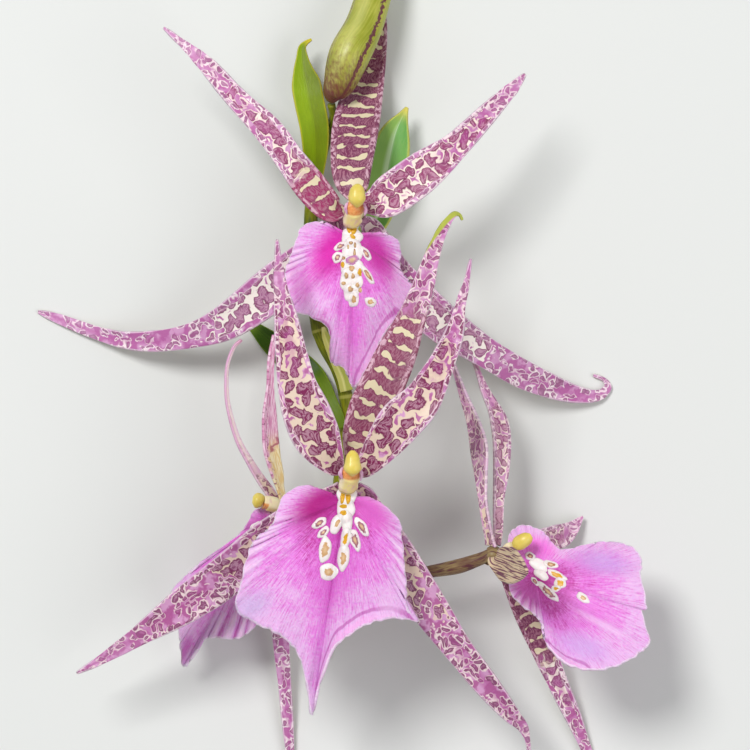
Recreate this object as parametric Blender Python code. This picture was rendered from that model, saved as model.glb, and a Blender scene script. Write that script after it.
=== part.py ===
"""A cut spray of a cambria orchid with four open blooms and a bud, lying on its back.

The spray points along +Y, its blooms look up along +Z, and it rests on the surface at z = 0.
Lengths are millimetres until a mesh is made.
"""

import math

import bpy
import numpy as np
from mathutils.bvhtree import BVHTree

MM = 0.001

# Driving dimensions
VIEW_HEIGHT = 900.0
MIDDLE_X = -9.01
MIDDLE_Y = 0.84
TEPAL_THICK = 0.7
LIP_THICK = 0.7
CREST_THICK = 0.9
LEAF_THICK = 0.7
HUB_RADIUS = 2.5
HUB_SHAPE = ((-2.3, 0.62), (-1.2, 0.88), (0, 1.0), (1.3, 0.86), (2.3, 0.4))
GAP = 0.35
CREST_GAP = 0.6
CLAW_HALF_WIDTH = 1.1
TIP_HALF_WIDTH = 0.15
TIP_RADIUS = 0.2
WAVE_FADE = 0.7
LIP_CROWN_LENGTH = 20.0

# Mesh fineness
TEPAL_ROWS = 15
TEPAL_COLUMNS = 5
LIP_RAYS = 40
LIP_RINGS = (0.22, 0.45, 0.68, 0.86, 1.0)
CREST_RAYS = 28
CREST_RINGS = (0.55, 1.0)
TUBE_SIDES = 10
SHARP_ANGLE = 50
ABOVE_ALL = 200.0

# Colours of the spray, as red, green and blue
MAROON = (0.29, 0.06, 0.15)
MAUVE = (0.52, 0.13, 0.36)
MAGENTA = (0.62, 0.09, 0.45)
CREAM = (0.78, 0.70, 0.42)
YELLOW = (0.80, 0.62, 0.12)
LEAF_GREEN = (0.16, 0.33, 0.05)
LIME = (0.42, 0.47, 0.10)
STEM_GREEN = (0.22, 0.24, 0.08)


def placed(x, y, z):
    """The true place of a point that is drawn as it looks from straight above.

    A point high over the surface looks larger and further out than one on it,
    so it is drawn in towards the middle of the view.
    """
    shrink = (VIEW_HEIGHT - z) / VIEW_HEIGHT
    return np.array([x * shrink - MIDDLE_X, y * shrink - MIDDLE_Y, z])


def unit(vector):
    return vector / np.linalg.norm(vector)


def smooth(stations, count, closed=False):
    """A smooth run of rows through the given stations."""
    given = np.array(stations, float)
    last = len(given) if closed else len(given) - 1
    if closed:
        padded = np.vstack([given[-1], given, given[:2]])
    else:
        padded = np.vstack([2 * given[0] - given[1], given, 2 * given[-1] - given[-2]])
    rows = []
    for place in np.linspace(0, last, count, endpoint=not closed):
        k = min(int(place), last - 1)
        t = place - k
        a, b, c, d = padded[k : k + 4]
        row = 2 * b + (c - a) * t + (2 * a - 5 * b + 4 * c - d) * t**2 + (3 * b - a - 3 * c + d) * t**3
        rows.append(row / 2)
    return np.array(rows)


def finish(name, mesh, colour, roughness=0.45):
    """Puts the mesh in the scene as a named object with a material of its own."""
    mesh.shade_smooth()
    mesh.set_sharp_from_angle(angle=math.radians(SHARP_ANGLE))
    piece = bpy.data.objects.new(name, mesh)
    bpy.context.scene.collection.objects.link(piece)
    material = bpy.data.materials.new(name)
    material.use_nodes = True
    shader = material.node_tree.nodes["Principled BSDF"]
    shader.inputs["Base Color"].default_value = (*colour, 1)
    shader.inputs["Roughness"].default_value = roughness
    shader.inputs["Metallic"].default_value = 0
    mesh.materials.append(material)
    return piece


def sheet(name, points, triangles, thick, colour):
    """A thin piece: one skin of triangles, thickened alike to both sides."""
    mesh = bpy.data.meshes.new(name)
    mesh.from_pydata([tuple(p) for p in np.array(points) * MM], [], triangles)
    piece = finish(name, mesh, colour)
    solid = piece.modifiers.new("Thickness", "SOLIDIFY")
    solid.thickness = thick * MM
    solid.offset = 0
    return piece


def grid_triangles(rows, columns):
    """Two triangles for each square of a grid, all split the same way."""
    triangles = []
    for i in range(rows - 1):
        for j in range(columns - 1):
            a = i * columns + j
            b = a + 1
            c = b + columns
            d = a + columns
            triangles += [(a, b, c), (a, c, d)]
    return triangles


def blade(name, stations, colour, hub=None, roll=0, cup=0.12, wave=0.0, waves=3, thick=TEPAL_THICK,
          rows=TEPAL_ROWS, columns=TEPAL_COLUMNS):
    """A petal, sepal or leaf along stations of x, y, z and half its width, as drawn from above.

    It starts in a narrow claw just off the hub, if one is given. Roll turns it about its length
    in degrees, cup lifts its margins by that share of its half width, and wave ripples them.
    Where it reaches the surface it lies flat on it.
    """
    true = [(*placed(x, y, z), half * (VIEW_HEIGHT - z) / VIEW_HEIGHT) for x, y, z, half in stations]
    if hub is not None:
        outward = unit(np.array(true[0][:3]) - hub)
        true.insert(0, (*(hub + outward * (HUB_RADIUS + GAP)), CLAW_HALF_WIDTH))
    run = smooth(true, rows)
    turn = math.radians(roll)
    points = []
    for i, (x, y, z, half) in enumerate(run):
        ahead = run[min(i + 1, rows - 1)][:3] - run[max(i - 1, 0)][:3]
        tangent = unit(ahead)
        side = unit(np.array([tangent[1], -tangent[0], 0]))
        up = np.cross(side, tangent)
        across = side * math.cos(turn) + up * math.sin(turn)
        out = up * math.cos(turn) - side * math.sin(turn)
        share = i / (rows - 1)
        fade = math.sin(math.pi * share) ** WAVE_FADE
        true_half = max(half, TIP_HALF_WIDTH) / math.cos(turn)
        for u in np.linspace(-1, 1, columns):
            ripple = wave * fade * u * abs(u) * math.sin(2 * math.pi * waves * share + u)
            lift = cup * true_half * (u * u - 0.3) + ripple
            point = np.array([x, y, z]) + across * u * true_half + out * lift
            point[2] = max(point[2], thick / 2)
            points.append(point)
    return sheet(name, points, grid_triangles(rows, columns), thick, colour)


def fan_triangles(rays, rings):
    """Triangles of a skin whose rays leave one middle point and pass through its rings."""
    triangles = []
    for i in range(rays):
        k = (i + 1) % rays
        triangles.append((0, 1 + i, 1 + k))
        for ring in range(rings - 1):
            a = 1 + ring * rays + i
            b = 1 + ring * rays + k
            c = b + rays
            d = a + rays
            triangles += [(a, d, c), (a, c, b)]
    return triangles


def lip(name, base, outline, colour, crown=1.0, pleat=0.5, pleats=9):
    """A broad lip, spread from its base to a lobed outline of x, y and z, as drawn from above."""
    middle = placed(*base)
    edge = smooth([placed(*point) for point in outline], LIP_RAYS, closed=True)
    points = [middle]
    for reach in LIP_RINGS:
        for i, end in enumerate(edge):
            point = middle + (end - middle) * reach
            length = np.linalg.norm(end - middle)
            point[2] += crown * math.sin(math.pi * reach) * min(length / LIP_CROWN_LENGTH, 1)
            ripple = math.sin(2 * math.pi * pleats * i / LIP_RAYS)
            point[2] += pleat * reach**3 * ripple
            points.append(point)
    triangles = fan_triangles(LIP_RAYS, len(LIP_RINGS))
    sheet(name, points, triangles, LIP_THICK, colour)
    return BVHTree.FromPolygons([tuple(p) for p in points], triangles)


def crest(name, base, outline, colour, below, dome=0.9):
    """The lobed callus that lies on a lip, a hair clear of it."""
    middle = placed(*base)
    edge = smooth([placed(x, y, base[2]) for x, y in outline], CREST_RAYS, closed=True)
    points = [middle]
    for reach in CREST_RINGS:
        points += [middle + (end - middle) * reach for end in edge]
    lay = LIP_THICK / 2 + CREST_THICK / 2 + CREST_GAP
    for i, point in enumerate(points):
        hit = below.ray_cast((point[0], point[1], ABOVE_ALL), (0, 0, -1))[0]
        rise = dome if i <= CREST_RAYS else 0
        point[2] = hit[2] + lay + rise
    sheet(name, points, fan_triangles(CREST_RAYS, len(CREST_RINGS)), CREST_THICK, colour)


def tube(name, stations, colour, rows=12, sides=TUBE_SIDES, drawn=True):
    """A round stem, bud or knob through stations of x, y, z and radius, closed at both ends."""
    if drawn:
        stations = [(*placed(x, y, z), radius) for x, y, z, radius in stations]
    run = smooth(stations, rows)
    tangent = unit(run[1][:3] - run[0][:3])
    side = unit(np.cross(tangent, (0.3, 0.2, 1.0)))
    points = []
    for i in range(rows):
        tangent = unit(run[min(i + 1, rows - 1)][:3] - run[max(i - 1, 0)][:3])
        side = unit(side - tangent * side.dot(tangent))
        up = np.cross(tangent, side)
        for k in range(sides):
            angle = 2 * math.pi * k / sides
            spoke = side * math.cos(angle) + up * math.sin(angle)
            points.append(run[i][:3] + spoke * max(run[i][3], TIP_RADIUS))
    faces = []
    for i in range(rows - 1):
        for k in range(sides):
            a = i * sides + k
            b = i * sides + (k + 1) % sides
            faces.append((a, b, b + sides, a + sides))
    faces.append(tuple(reversed(range(sides))))
    faces.append(tuple(range((rows - 1) * sides, rows * sides)))
    mesh = bpy.data.meshes.new(name)
    mesh.from_pydata([tuple(p * MM) for p in points], [], faces)
    return finish(name, mesh, colour)


def pedicel(name, stations, hub, facing, colour=LIME):
    """The stalk of one bloom, which swells to the ovary and ends in the round hub of the bloom."""
    true = [(*placed(x, y, z), radius) for x, y, z, radius in stations]
    facing = unit(np.array(facing, float))
    for along, share in HUB_SHAPE:
        true.append((*(hub + facing * along), HUB_RADIUS * share))
    return tube(name, true, colour, rows=16, sides=8, drawn=False)


def column(bloom, stations, cap):
    """The waxy column of a bloom and the anther cap on its end."""
    tube(f"{bloom}_column", stations, CREAM, rows=8)
    tube(f"{bloom}_anther_cap", cap, YELLOW, rows=6, sides=8)


def upper_bloom():
    """The topmost bloom, wide open and facing straight up."""
    hub = placed(-5.2, 40.8, 29.5)
    pedicel("upper_pedicel", [(-13.6, 17.0, 8.5, 1.0), (-11.9, 22.5, 10.5, 1.1), (-9.0, 31.0, 15.5, 1.3),
                              (-6.6, 38.0, 22.0, 1.5)], hub, (0, -0.1, 1))
    blade("upper_left_petal", [
        (-11.0, 41.5, 33.0, 3.4), (-15.8, 46.8, 34.5, 4.1), (-21.2, 53.8, 35.5, 3.6),
        (-26.5, 61.0, 35.5, 3.6), (-35.2, 69.8, 34.0, 2.6), (-41.8, 77.2, 32.0, 2.1),
        (-46.8, 81.8, 30.5, 1.2), (-52.8, 86.8, 29.0, 0.3)], MAROON, hub, wave=0.6)
    blade("upper_right_petal", [
        (-0.8, 42.8, 33.0, 3.2), (3.2, 44.5, 34.5, 5.0), (12.2, 51.0, 36.0, 5.1), (20.5, 57.6, 36.0, 3.4),
        (30.2, 67.5, 33.5, 2.2), (34.5, 71.8, 32.0, 1.5), (37.5, 75.2, 31.0, 0.4)], MAROON, hub, wave=0.6)
    blade("upper_dorsal_sepal", [
        (-5.5, 46.8, 28.0, 3.8), (-5.8, 52.2, 26.0, 5.1), (-4.8, 62.0, 17.0, 5.8), (-3.0, 70.8, 8.4, 5.0),
        (-1.0, 80.0, 4.2, 3.8), (0.8, 86.8, 2.0, 2.2), (2.0, 92.2, 0.6, 0.5)], MAROON, hub, roll=10)
    blade("upper_left_sepal", [
        (-10.0, 36.8, 27.0, 2.5), (-18.0, 28.5, 25.0, 4.5), (-25.0, 22.1, 22.0, 5.5),
        (-36.8, 13.4, 17.0, 4.5), (-46.2, 9.8, 13.0, 3.1), (-55.0, 8.5, 8.5, 2.6), (-63.2, 8.8, 4.5, 2.0),
        (-71.0, 11.0, 2.0, 1.6), (-79.5, 14.2, 0.8, 1.2), (-84.2, 15.8, 0.6, 0.4)], MAROON, hub, wave=0.5)
    blade("upper_right_sepal", [
        (-1.2, 37.0, 27.0, 2.5), (1.0, 33.0, 26.5, 3.3), (4.0, 26.8, 25.5, 4.2), (8.2, 21.0, 24.0, 5.0),
        (16.9, 12.9, 21.0, 4.9), (24.8, 7.5, 17.5, 4.0), (30.0, 4.2, 15.0, 3.7), (36.9, 0.2, 11.0, 3.6),
        (43.8, -2.8, 7.0, 3.0), (48.6, -4.4, 4.2, 2.3), (53.3, -5.2, 2.2, 1.7), (56.4, -4.9, 1.2, 1.2),
        (58.2, -2.9, 0.8, 0.9), (57.1, -1.0, 0.7, 0.5), (54.6, -0.1, 0.8, 0.3)],
        MAROON, hub, wave=0.5, rows=19)
    skin = lip("upper_lip", (-5.8, 34.6, 32.6), [
        (-8.7, 35.9, 32.6), (-13.2, 38.2, 32.0), (-17.8, 37.4, 31.0), (-19.8, 33.3, 30.5),
        (-21.3, 29.1, 30.5), (-22.5, 24.9, 30.5), (-21.0, 18.6, 31.0), (-20.2, 15.8, 31.0),
        (-16.8, 14.9, 32.0), (-11.5, 11.5, 33.0), (-11.1, 4.9, 32.5), (-10.4, 2.8, 32.0),
        (-7.6, 1.4, 32.0), (-5.3, -3.2, 30.0), (-2.8, 0.0, 32.0), (0.5, 6.0, 34.0), (2.2, 9.8, 34.5),
        (6.4, 16.1, 34.0), (9.2, 21.8, 32.5), (6.4, 26.3, 31.5), (6.1, 33.0, 31.0), (2.2, 35.4, 32.0),
        (-3.2, 35.3, 32.8)], MAGENTA)
    crest("upper_crest", (-5.8, 26.5, 33.0), [
        (-8.0, 34.2), (-3.6, 34.2), (-3.0, 32.0), (-1.0, 31.2), (-0.8, 29.2), (-2.4, 27.6), (-0.6, 26.0),
        (-0.8, 23.2), (-2.8, 22.8), (-3.8, 20.6), (-4.0, 17.7), (-6.2, 17.5), (-7.0, 20.5),
        (-8.7, 21.8), (-9.0, 26.2), (-9.8, 28.0), (-10.4, 30.4), (-8.6, 32.4)], CREAM, skin)
    column("upper", [(-5.4, 39.8, 32.7, 1.1), (-5.7, 38.8, 34.0, 2.3), (-5.6, 39.8, 35.6, 2.4),
                     (-5.2, 41.8, 37.1, 2.2), (-4.9, 43.6, 37.8, 1.5)],
           [(-4.5, 42.4, 40.8, 0.5), (-4.5, 43.6, 41.0, 1.6), (-4.5, 45.2, 41.1, 2.1),
            (-4.4, 46.6, 40.9, 1.8), (-4.4, 47.5, 40.5, 0.8)])


def middle_bloom():
    """The largest and highest bloom, facing straight up."""
    hub = placed(-6.5, -25.8, 44.5)
    pedicel("middle_pedicel", [(-8.2, -34.0, 6.6, 1.0), (-8.2, -31.0, 12.0, 1.1), (-7.8, -28.5, 24.0, 1.3),
                               (-7.0, -26.4, 36.0, 1.5)], hub, (0, -0.1, 1))
    blade("middle_left_petal", [
        (-10.5, -22.2, 48.0, 3.2), (-14.2, -16.2, 50.0, 5.8), (-17.2, -9.2, 51.5, 5.9),
        (-19.5, -2.5, 52.0, 4.9), (-21.0, 5.8, 51.5, 3.9), (-22.2, 13.8, 50.0, 2.9),
        (-23.5, 21.2, 48.0, 1.8), (-24.2, 28.2, 46.0, 0.9), (-24.5, 33.8, 44.5, 0.3)],
        MAROON, hub, wave=0.6)
    blade("middle_right_petal", [
        (-2.2, -22.8, 48.0, 2.8), (3.2, -15.8, 52.0, 5.0), (6.8, -11.2, 53.0, 5.5), (11.5, -6.5, 53.0, 4.9),
        (14.8, -0.8, 52.5, 3.9), (18.0, 5.8, 51.0, 2.9), (20.0, 11.2, 50.0, 2.2), (21.5, 18.0, 48.0, 1.2),
        (23.0, 23.8, 46.5, 0.7), (24.0, 29.0, 45.0, 0.2)], MAROON, hub, wave=0.6)
    blade("middle_dorsal_sepal", [
        (-5.2, -20.6, 43.5, 2.5), (-3.5, -16.2, 44.0, 4.8), (-0.8, -8.8, 44.5, 5.8), (2.5, -1.2, 44.5, 5.4),
        (5.8, 6.2, 44.0, 4.9), (9.0, 13.8, 43.0, 3.6), (11.8, 21.2, 42.0, 2.9), (13.8, 28.2, 41.0, 2.1),
        (15.8, 33.8, 40.0, 1.5), (17.8, 37.8, 39.0, 1.1), (19.8, 40.1, 38.0, 0.7), (21.2, 40.0, 37.0, 0.4),
        (21.8, 38.8, 36.5, 0.3)], MAROON, hub, rows=19)
    blade("middle_left_sepal", [
        (-11.2, -30.0, 42.0, 2.2), (-17.5, -34.5, 41.5, 4.0), (-26.2, -41.2, 39.0, 5.2),
        (-33.8, -47.5, 36.5, 5.2), (-40.8, -53.0, 34.0, 5.1), (-47.5, -57.5, 31.5, 4.5),
        (-53.8, -61.8, 29.0, 3.4), (-61.0, -66.5, 26.5, 2.2), (-68.5, -71.2, 24.0, 1.2),
        (-74.5, -74.5, 22.0, 0.3)], MAROON, hub, wave=0.6)
    blade("middle_right_sepal", [
        (-2.2, -30.2, 42.0, 2.2), (-0.5, -34.5, 41.5, 3.3), (3.2, -41.1, 40.0, 4.4),
        (7.8, -49.2, 38.0, 4.9), (13.6, -58.3, 35.0, 4.7), (20.2, -67.7, 32.0, 3.7),
        (27.4, -76.9, 28.0, 3.1), (34.0, -84.8, 23.5, 2.1), (37.0, -88.1, 21.0, 1.2),
        (38.2, -91.6, 19.5, 0.6), (38.5, -96.0, 18.2, 0.3)], MAROON, hub, wave=0.6, rows=17)
    skin = lip("middle_lip", (-7.2, -31.0, 47.4), [
        (-10.2, -30.2, 47.6), (-13.2, -28.9, 47.5), (-18.4, -27.7, 47.0), (-23.2, -30.9, 46.0),
        (-25.6, -37.3, 46.0), (-29.6, -40.9, 45.5), (-31.6, -44.5, 45.0), (-33.6, -52.4, 45.0),
        (-34.8, -58.4, 44.5), (-29.4, -62.4, 45.5), (-25.6, -64.0, 46.0), (-21.6, -66.8, 46.0),
        (-18.8, -70.8, 45.5), (-17.2, -77.0, 44.0), (-15.8, -85.1, 41.0), (-14.0, -78.0, 43.5),
        (-10.5, -68.8, 46.0), (-7.2, -65.6, 46.5), (-2.9, -62.8, 46.5), (1.1, -61.4, 46.0),
        (5.5, -60.8, 45.5), (10.7, -61.6, 44.0), (8.1, -58.6, 45.0), (7.7, -51.7, 45.5),
        (6.7, -41.2, 46.0), (5.9, -36.1, 46.5), (0.3, -31.3, 47.5), (-4.2, -30.6, 47.8)],
        MAGENTA, crown=1.6)
    crest("middle_crest", (-8.5, -39.5, 48.0), [
        (-9.2, -31.6), (-5.0, -31.6), (-5.0, -34.2), (-3.0, -36.2), (-1.0, -38.5), (-2.2, -39.5),
        (-4.2, -39.2), (-2.5, -41.6), (-3.6, -43.0), (-6.2, -42.2), (-6.5, -47.4), (-8.0, -48.8),
        (-9.6, -50.6), (-12.0, -51.6), (-13.6, -50.2), (-12.8, -46.8), (-14.0, -45.2), (-14.0, -41.2),
        (-15.6, -38.2), (-15.2, -36.2), (-12.0, -35.4), (-9.6, -33.4)], CREAM, skin)
    column("middle", [(-6.6, -26.9, 47.8, 1.1), (-6.8, -27.7, 49.0, 2.3), (-6.4, -26.4, 50.8, 2.4),
                      (-6.0, -24.2, 52.3, 2.3), (-5.8, -22.4, 53.0, 1.6)],
           [(-5.6, -24.6, 56.2, 0.5), (-5.6, -23.4, 56.5, 1.7), (-5.6, -21.6, 56.6, 2.1),
            (-5.6, -20.0, 56.3, 1.9), (-5.6, -19.0, 55.9, 0.9)])


def right_bloom():
    """The bloom on the right, turned to look along +X."""
    hub = placed(29.6, -45.2, 23.5)
    pedicel("right_pedicel", [(-9.0, -51.6, 3.6, 1.1), (-2.0, -51.0, 6.5, 1.2), (6.0, -50.4, 12.0, 1.4),
                              (13.5, -49.2, 17.0, 1.5), (21.0, -47.8, 20.8, 1.8)],
            hub, (1, 0.2, 0.2), STEM_GREEN)
    blade("right_left_petal", [
        (28.6, -40.6, 25.5, 0.9), (27.9, -37.0, 27.0, 0.9), (27.0, -31.2, 28.0, 0.9),
        (26.6, -25.0, 28.0, 1.4), (26.1, -18.0, 26.5, 2.0), (24.4, -11.2, 23.0, 1.4),
        (22.4, -5.8, 19.0, 0.9), (20.9, -1.4, 15.5, 0.6), (19.3, 3.2, 12.0, 0.3)],
        MAROON, hub, roll=50)
    blade("right_dorsal_sepal", [
        (30.7, -40.0, 22.3, 1.1), (30.8, -36.0, 22.0, 1.2), (30.9, -31.0, 21.6, 1.3),
        (31.5, -24.0, 20.5, 1.9), (31.7, -17.0, 19.0, 2.2), (31.1, -12.0, 17.0, 2.2),
        (29.9, -8.6, 15.5, 1.6), (27.5, -3.8, 13.0, 1.0), (25.6, 1.3, 10.5, 0.5), (23.8, 5.8, 8.0, 0.3)],
        MAROON, hub, roll=-30)
    blade("right_far_petal", [
        (34.2, -43.3, 19.5, 1.6), (38.2, -42.2, 15.0, 2.4), (42.5, -41.2, 11.0, 2.9),
        (46.5, -40.2, 7.0, 3.0), (49.2, -38.4, 4.0, 1.9), (51.9, -35.4, 2.0, 0.3)], MAROON, hub, rows=13)
    blade("right_near_sepal", [
        (30.2, -46.2, 29.0, 2.4), (31.8, -46.8, 34.0, 3.8), (33.4, -47.5, 41.0, 4.5),
        (35.0, -48.2, 48.0, 4.0), (36.8, -48.8, 54.0, 2.4), (38.0, -49.2, 59.0, 0.4)], CREAM, hub, rows=13)
    blade("right_lower_sepal", [
        (32.4, -49.6, 20.6, 1.4), (34.2, -52.8, 18.8, 2.0), (36.5, -57.0, 16.0, 2.7),
        (39.5, -63.2, 12.5, 3.0), (43.2, -71.2, 8.5, 2.9), (46.5, -78.8, 5.5, 2.4),
        (49.8, -86.0, 3.4, 1.9), (52.9, -93.8, 1.8, 1.3), (56.2, -102.5, 0.9, 0.7),
        (58.5, -108.8, 0.5, 0.3)],
        MAROON, hub, wave=0.5)
    skin = lip("right_lip", (40.0, -51.2, 24.6), [
        (33.3, -41.6, 21.5), (34.2, -39.0, 20.5), (36.4, -37.7, 20.0), (39.0, -37.9, 20.0),
        (42.0, -39.2, 20.5), (44.0, -41.6, 21.5), (46.8, -43.7, 23.0), (52.8, -42.4, 23.0),
        (57.1, -41.8, 23.5), (61.8, -42.2, 24.5), (65.2, -43.7, 25.5), (66.8, -46.9, 27.0),
        (66.5, -50.3, 28.5), (68.0, -57.8, 31.5), (66.8, -59.2, 31.8), (69.0, -66.5, 34.5),
        (66.9, -68.9, 35.0), (63.9, -71.2, 36.0), (59.2, -73.2, 36.0), (54.0, -73.8, 36.0),
        (49.3, -72.9, 35.5), (46.2, -71.0, 35.0), (42.7, -67.0, 33.5), (41.8, -62.5, 32.5),
        (40.0, -60.0, 31.0), (35.8, -56.8, 28.5), (33.4, -52.6, 26.0)], MAGENTA, crown=0.8)
    crest("right_crest", (42.5, -49.5, 26.0), [
        (37.2, -45.2), (40.0, -44.6), (42.5, -45.8), (45.5, -46.5), (45.8, -48.0), (48.5, -48.8),
        (48.8, -50.8), (47.8, -54.2), (45.8, -56.5), (43.2, -55.2), (40.2, -52.2), (38.2, -49.8)],
        CREAM, skin)
    column("right", [(32.4, -44.3, 24.7, 0.8), (33.0, -43.9, 25.7, 1.4), (33.6, -43.5, 26.2, 1.6),
                     (34.1, -43.2, 26.5, 1.5), (34.4, -43.0, 26.8, 1.1)],
           [(34.9, -42.7, 27.2, 1.2), (35.8, -42.2, 27.6, 1.8), (37.1, -41.4, 28.1, 1.8),
            (38.3, -40.7, 28.4, 1.5), (39.1, -40.2, 28.5, 0.7)])


def left_bloom():
    """The bloom on the left, behind the others, turned to look along -X."""
    hub = placed(-22.0, -33.8, 21.5)
    pedicel("left_pedicel", [(-13.3, -38.4, 4.2, 1.0), (-14.2, -37.6, 8.0, 1.1), (-16.0, -36.4, 13.0, 1.3),
                             (-18.4, -34.8, 18.0, 1.5)], hub, (-1, 0.1, 0.3))
    blade("left_dorsal_sepal", [
        (-25.2, -30.8, 23.0, 1.0), (-26.6, -28.8, 24.0, 1.1), (-28.6, -26.0, 24.8, 1.0),
        (-31.1, -22.0, 25.5, 0.8), (-34.4, -15.8, 26.0, 0.6), (-36.7, -7.5, 25.5, 0.45),
        (-37.1, -1.2, 24.5, 0.35), (-36.7, 3.1, 23.0, 0.3), (-35.2, 6.9, 21.5, 0.3),
        (-33.4, 8.7, 20.5, 0.25)], MAROON, hub, roll=-35)
    blade("left_right_petal", [
        (-23.2, -30.2, 23.2, 0.8), (-23.8, -27.8, 23.6, 0.9), (-24.4, -25.0, 24.0, 1.4),
        (-25.4, -21.2, 24.6, 1.7), (-26.0, -18.0, 25.0, 1.9), (-26.3, -13.8, 25.4, 1.8),
        (-26.4, -9.5, 25.8, 1.6), (-26.2, -3.0, 26.3, 0.8), (-26.0, 3.8, 26.8, 0.7),
        (-25.2, 10.0, 27.0, 0.3)],
        MAUVE, hub, roll=-35)
    blade("left_far_petal", [
        (-26.6, -36.0, 17.8, 1.6), (-30.8, -41.5, 11.5, 3.0), (-34.8, -45.8, 7.5, 3.5),
        (-38.8, -50.0, 4.0, 3.0), (-42.0, -53.8, 2.0, 1.8), (-44.8, -57.2, 1.2, 0.3)], MAROON, hub, rows=13)
    blade("left_near_sepal", [
        (-21.0, -37.6, 26.0, 1.6), (-19.2, -40.6, 29.0, 2.8), (-18.0, -43.8, 32.5, 2.8),
        (-16.8, -47.8, 35.5, 2.0), (-15.8, -51.2, 37.0, 1.0), (-15.0, -53.8, 37.5, 0.3)],
        MAUVE, hub, rows=13)
    blade("left_lower_sepal", [
        (-21.6, -39.2, 19.0, 1.6), (-23.6, -45.2, 15.0, 3.2), (-24.0, -56.2, 11.0, 2.8),
        (-23.5, -66.5, 7.5, 2.1), (-22.8, -75.0, 5.0, 1.7), (-22.0, -84.8, 3.0, 1.4),
        (-21.3, -93.8, 1.6, 1.1), (-21.0, -101.2, 0.8, 0.6), (-20.8, -106.2, 0.5, 0.3)],
        MAROON, hub, wave=0.3)
    skin = lip("left_lip", (-27.0, -35.8, 24.6), [
        (-27.2, -33.8, 25.2), (-28.4, -33.2, 25.1), (-30.2, -34.0, 24.6), (-31.5, -36.4, 23.6),
        (-33.8, -39.8, 22.0), (-38.2, -43.4, 20.0), (-43.8, -47.2, 17.5), (-47.8, -50.9, 15.0),
        (-50.6, -54.2, 14.0), (-50.8, -57.8, 14.0), (-49.5, -61.8, 14.0), (-48.8, -65.5, 13.5),
        (-48.6, -69.0, 12.5), (-47.8, -73.0, 11.0), (-44.8, -69.4, 13.5), (-42.8, -66.2, 15.5),
        (-40.0, -65.6, 17.0), (-35.2, -66.0, 19.0), (-31.8, -64.5, 20.5), (-28.2, -60.8, 22.0),
        (-25.2, -54.2, 23.0), (-23.6, -46.8, 23.8), (-23.4, -40.8, 24.4), (-24.4, -37.2, 24.8)],
        MAGENTA, crown=0.8)
    crest("left_crest", (-31.0, -40.0, 24.0), [
        (-28.2, -36.4), (-29.6, -36.2), (-31.6, -38.2), (-33.8, -41.2), (-35.0, -43.4), (-33.2, -44.4),
        (-31.0, -43.6), (-29.0, -43.2), (-27.2, -41.6), (-27.0, -38.6)], CREAM, skin, dome=0.5)
    column("left", [(-23.5, -33.4, 24.5, 0.8), (-24.8, -32.6, 26.3, 1.5), (-26.2, -32.2, 27.1, 1.7),
                    (-27.3, -31.9, 27.5, 1.6), (-27.9, -31.8, 27.7, 1.0)],
           [(-28.5, -31.8, 27.8, 1.1), (-29.1, -31.7, 28.0, 1.6), (-29.9, -31.6, 28.1, 1.5),
            (-30.5, -31.5, 28.1, 0.7)])


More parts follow.
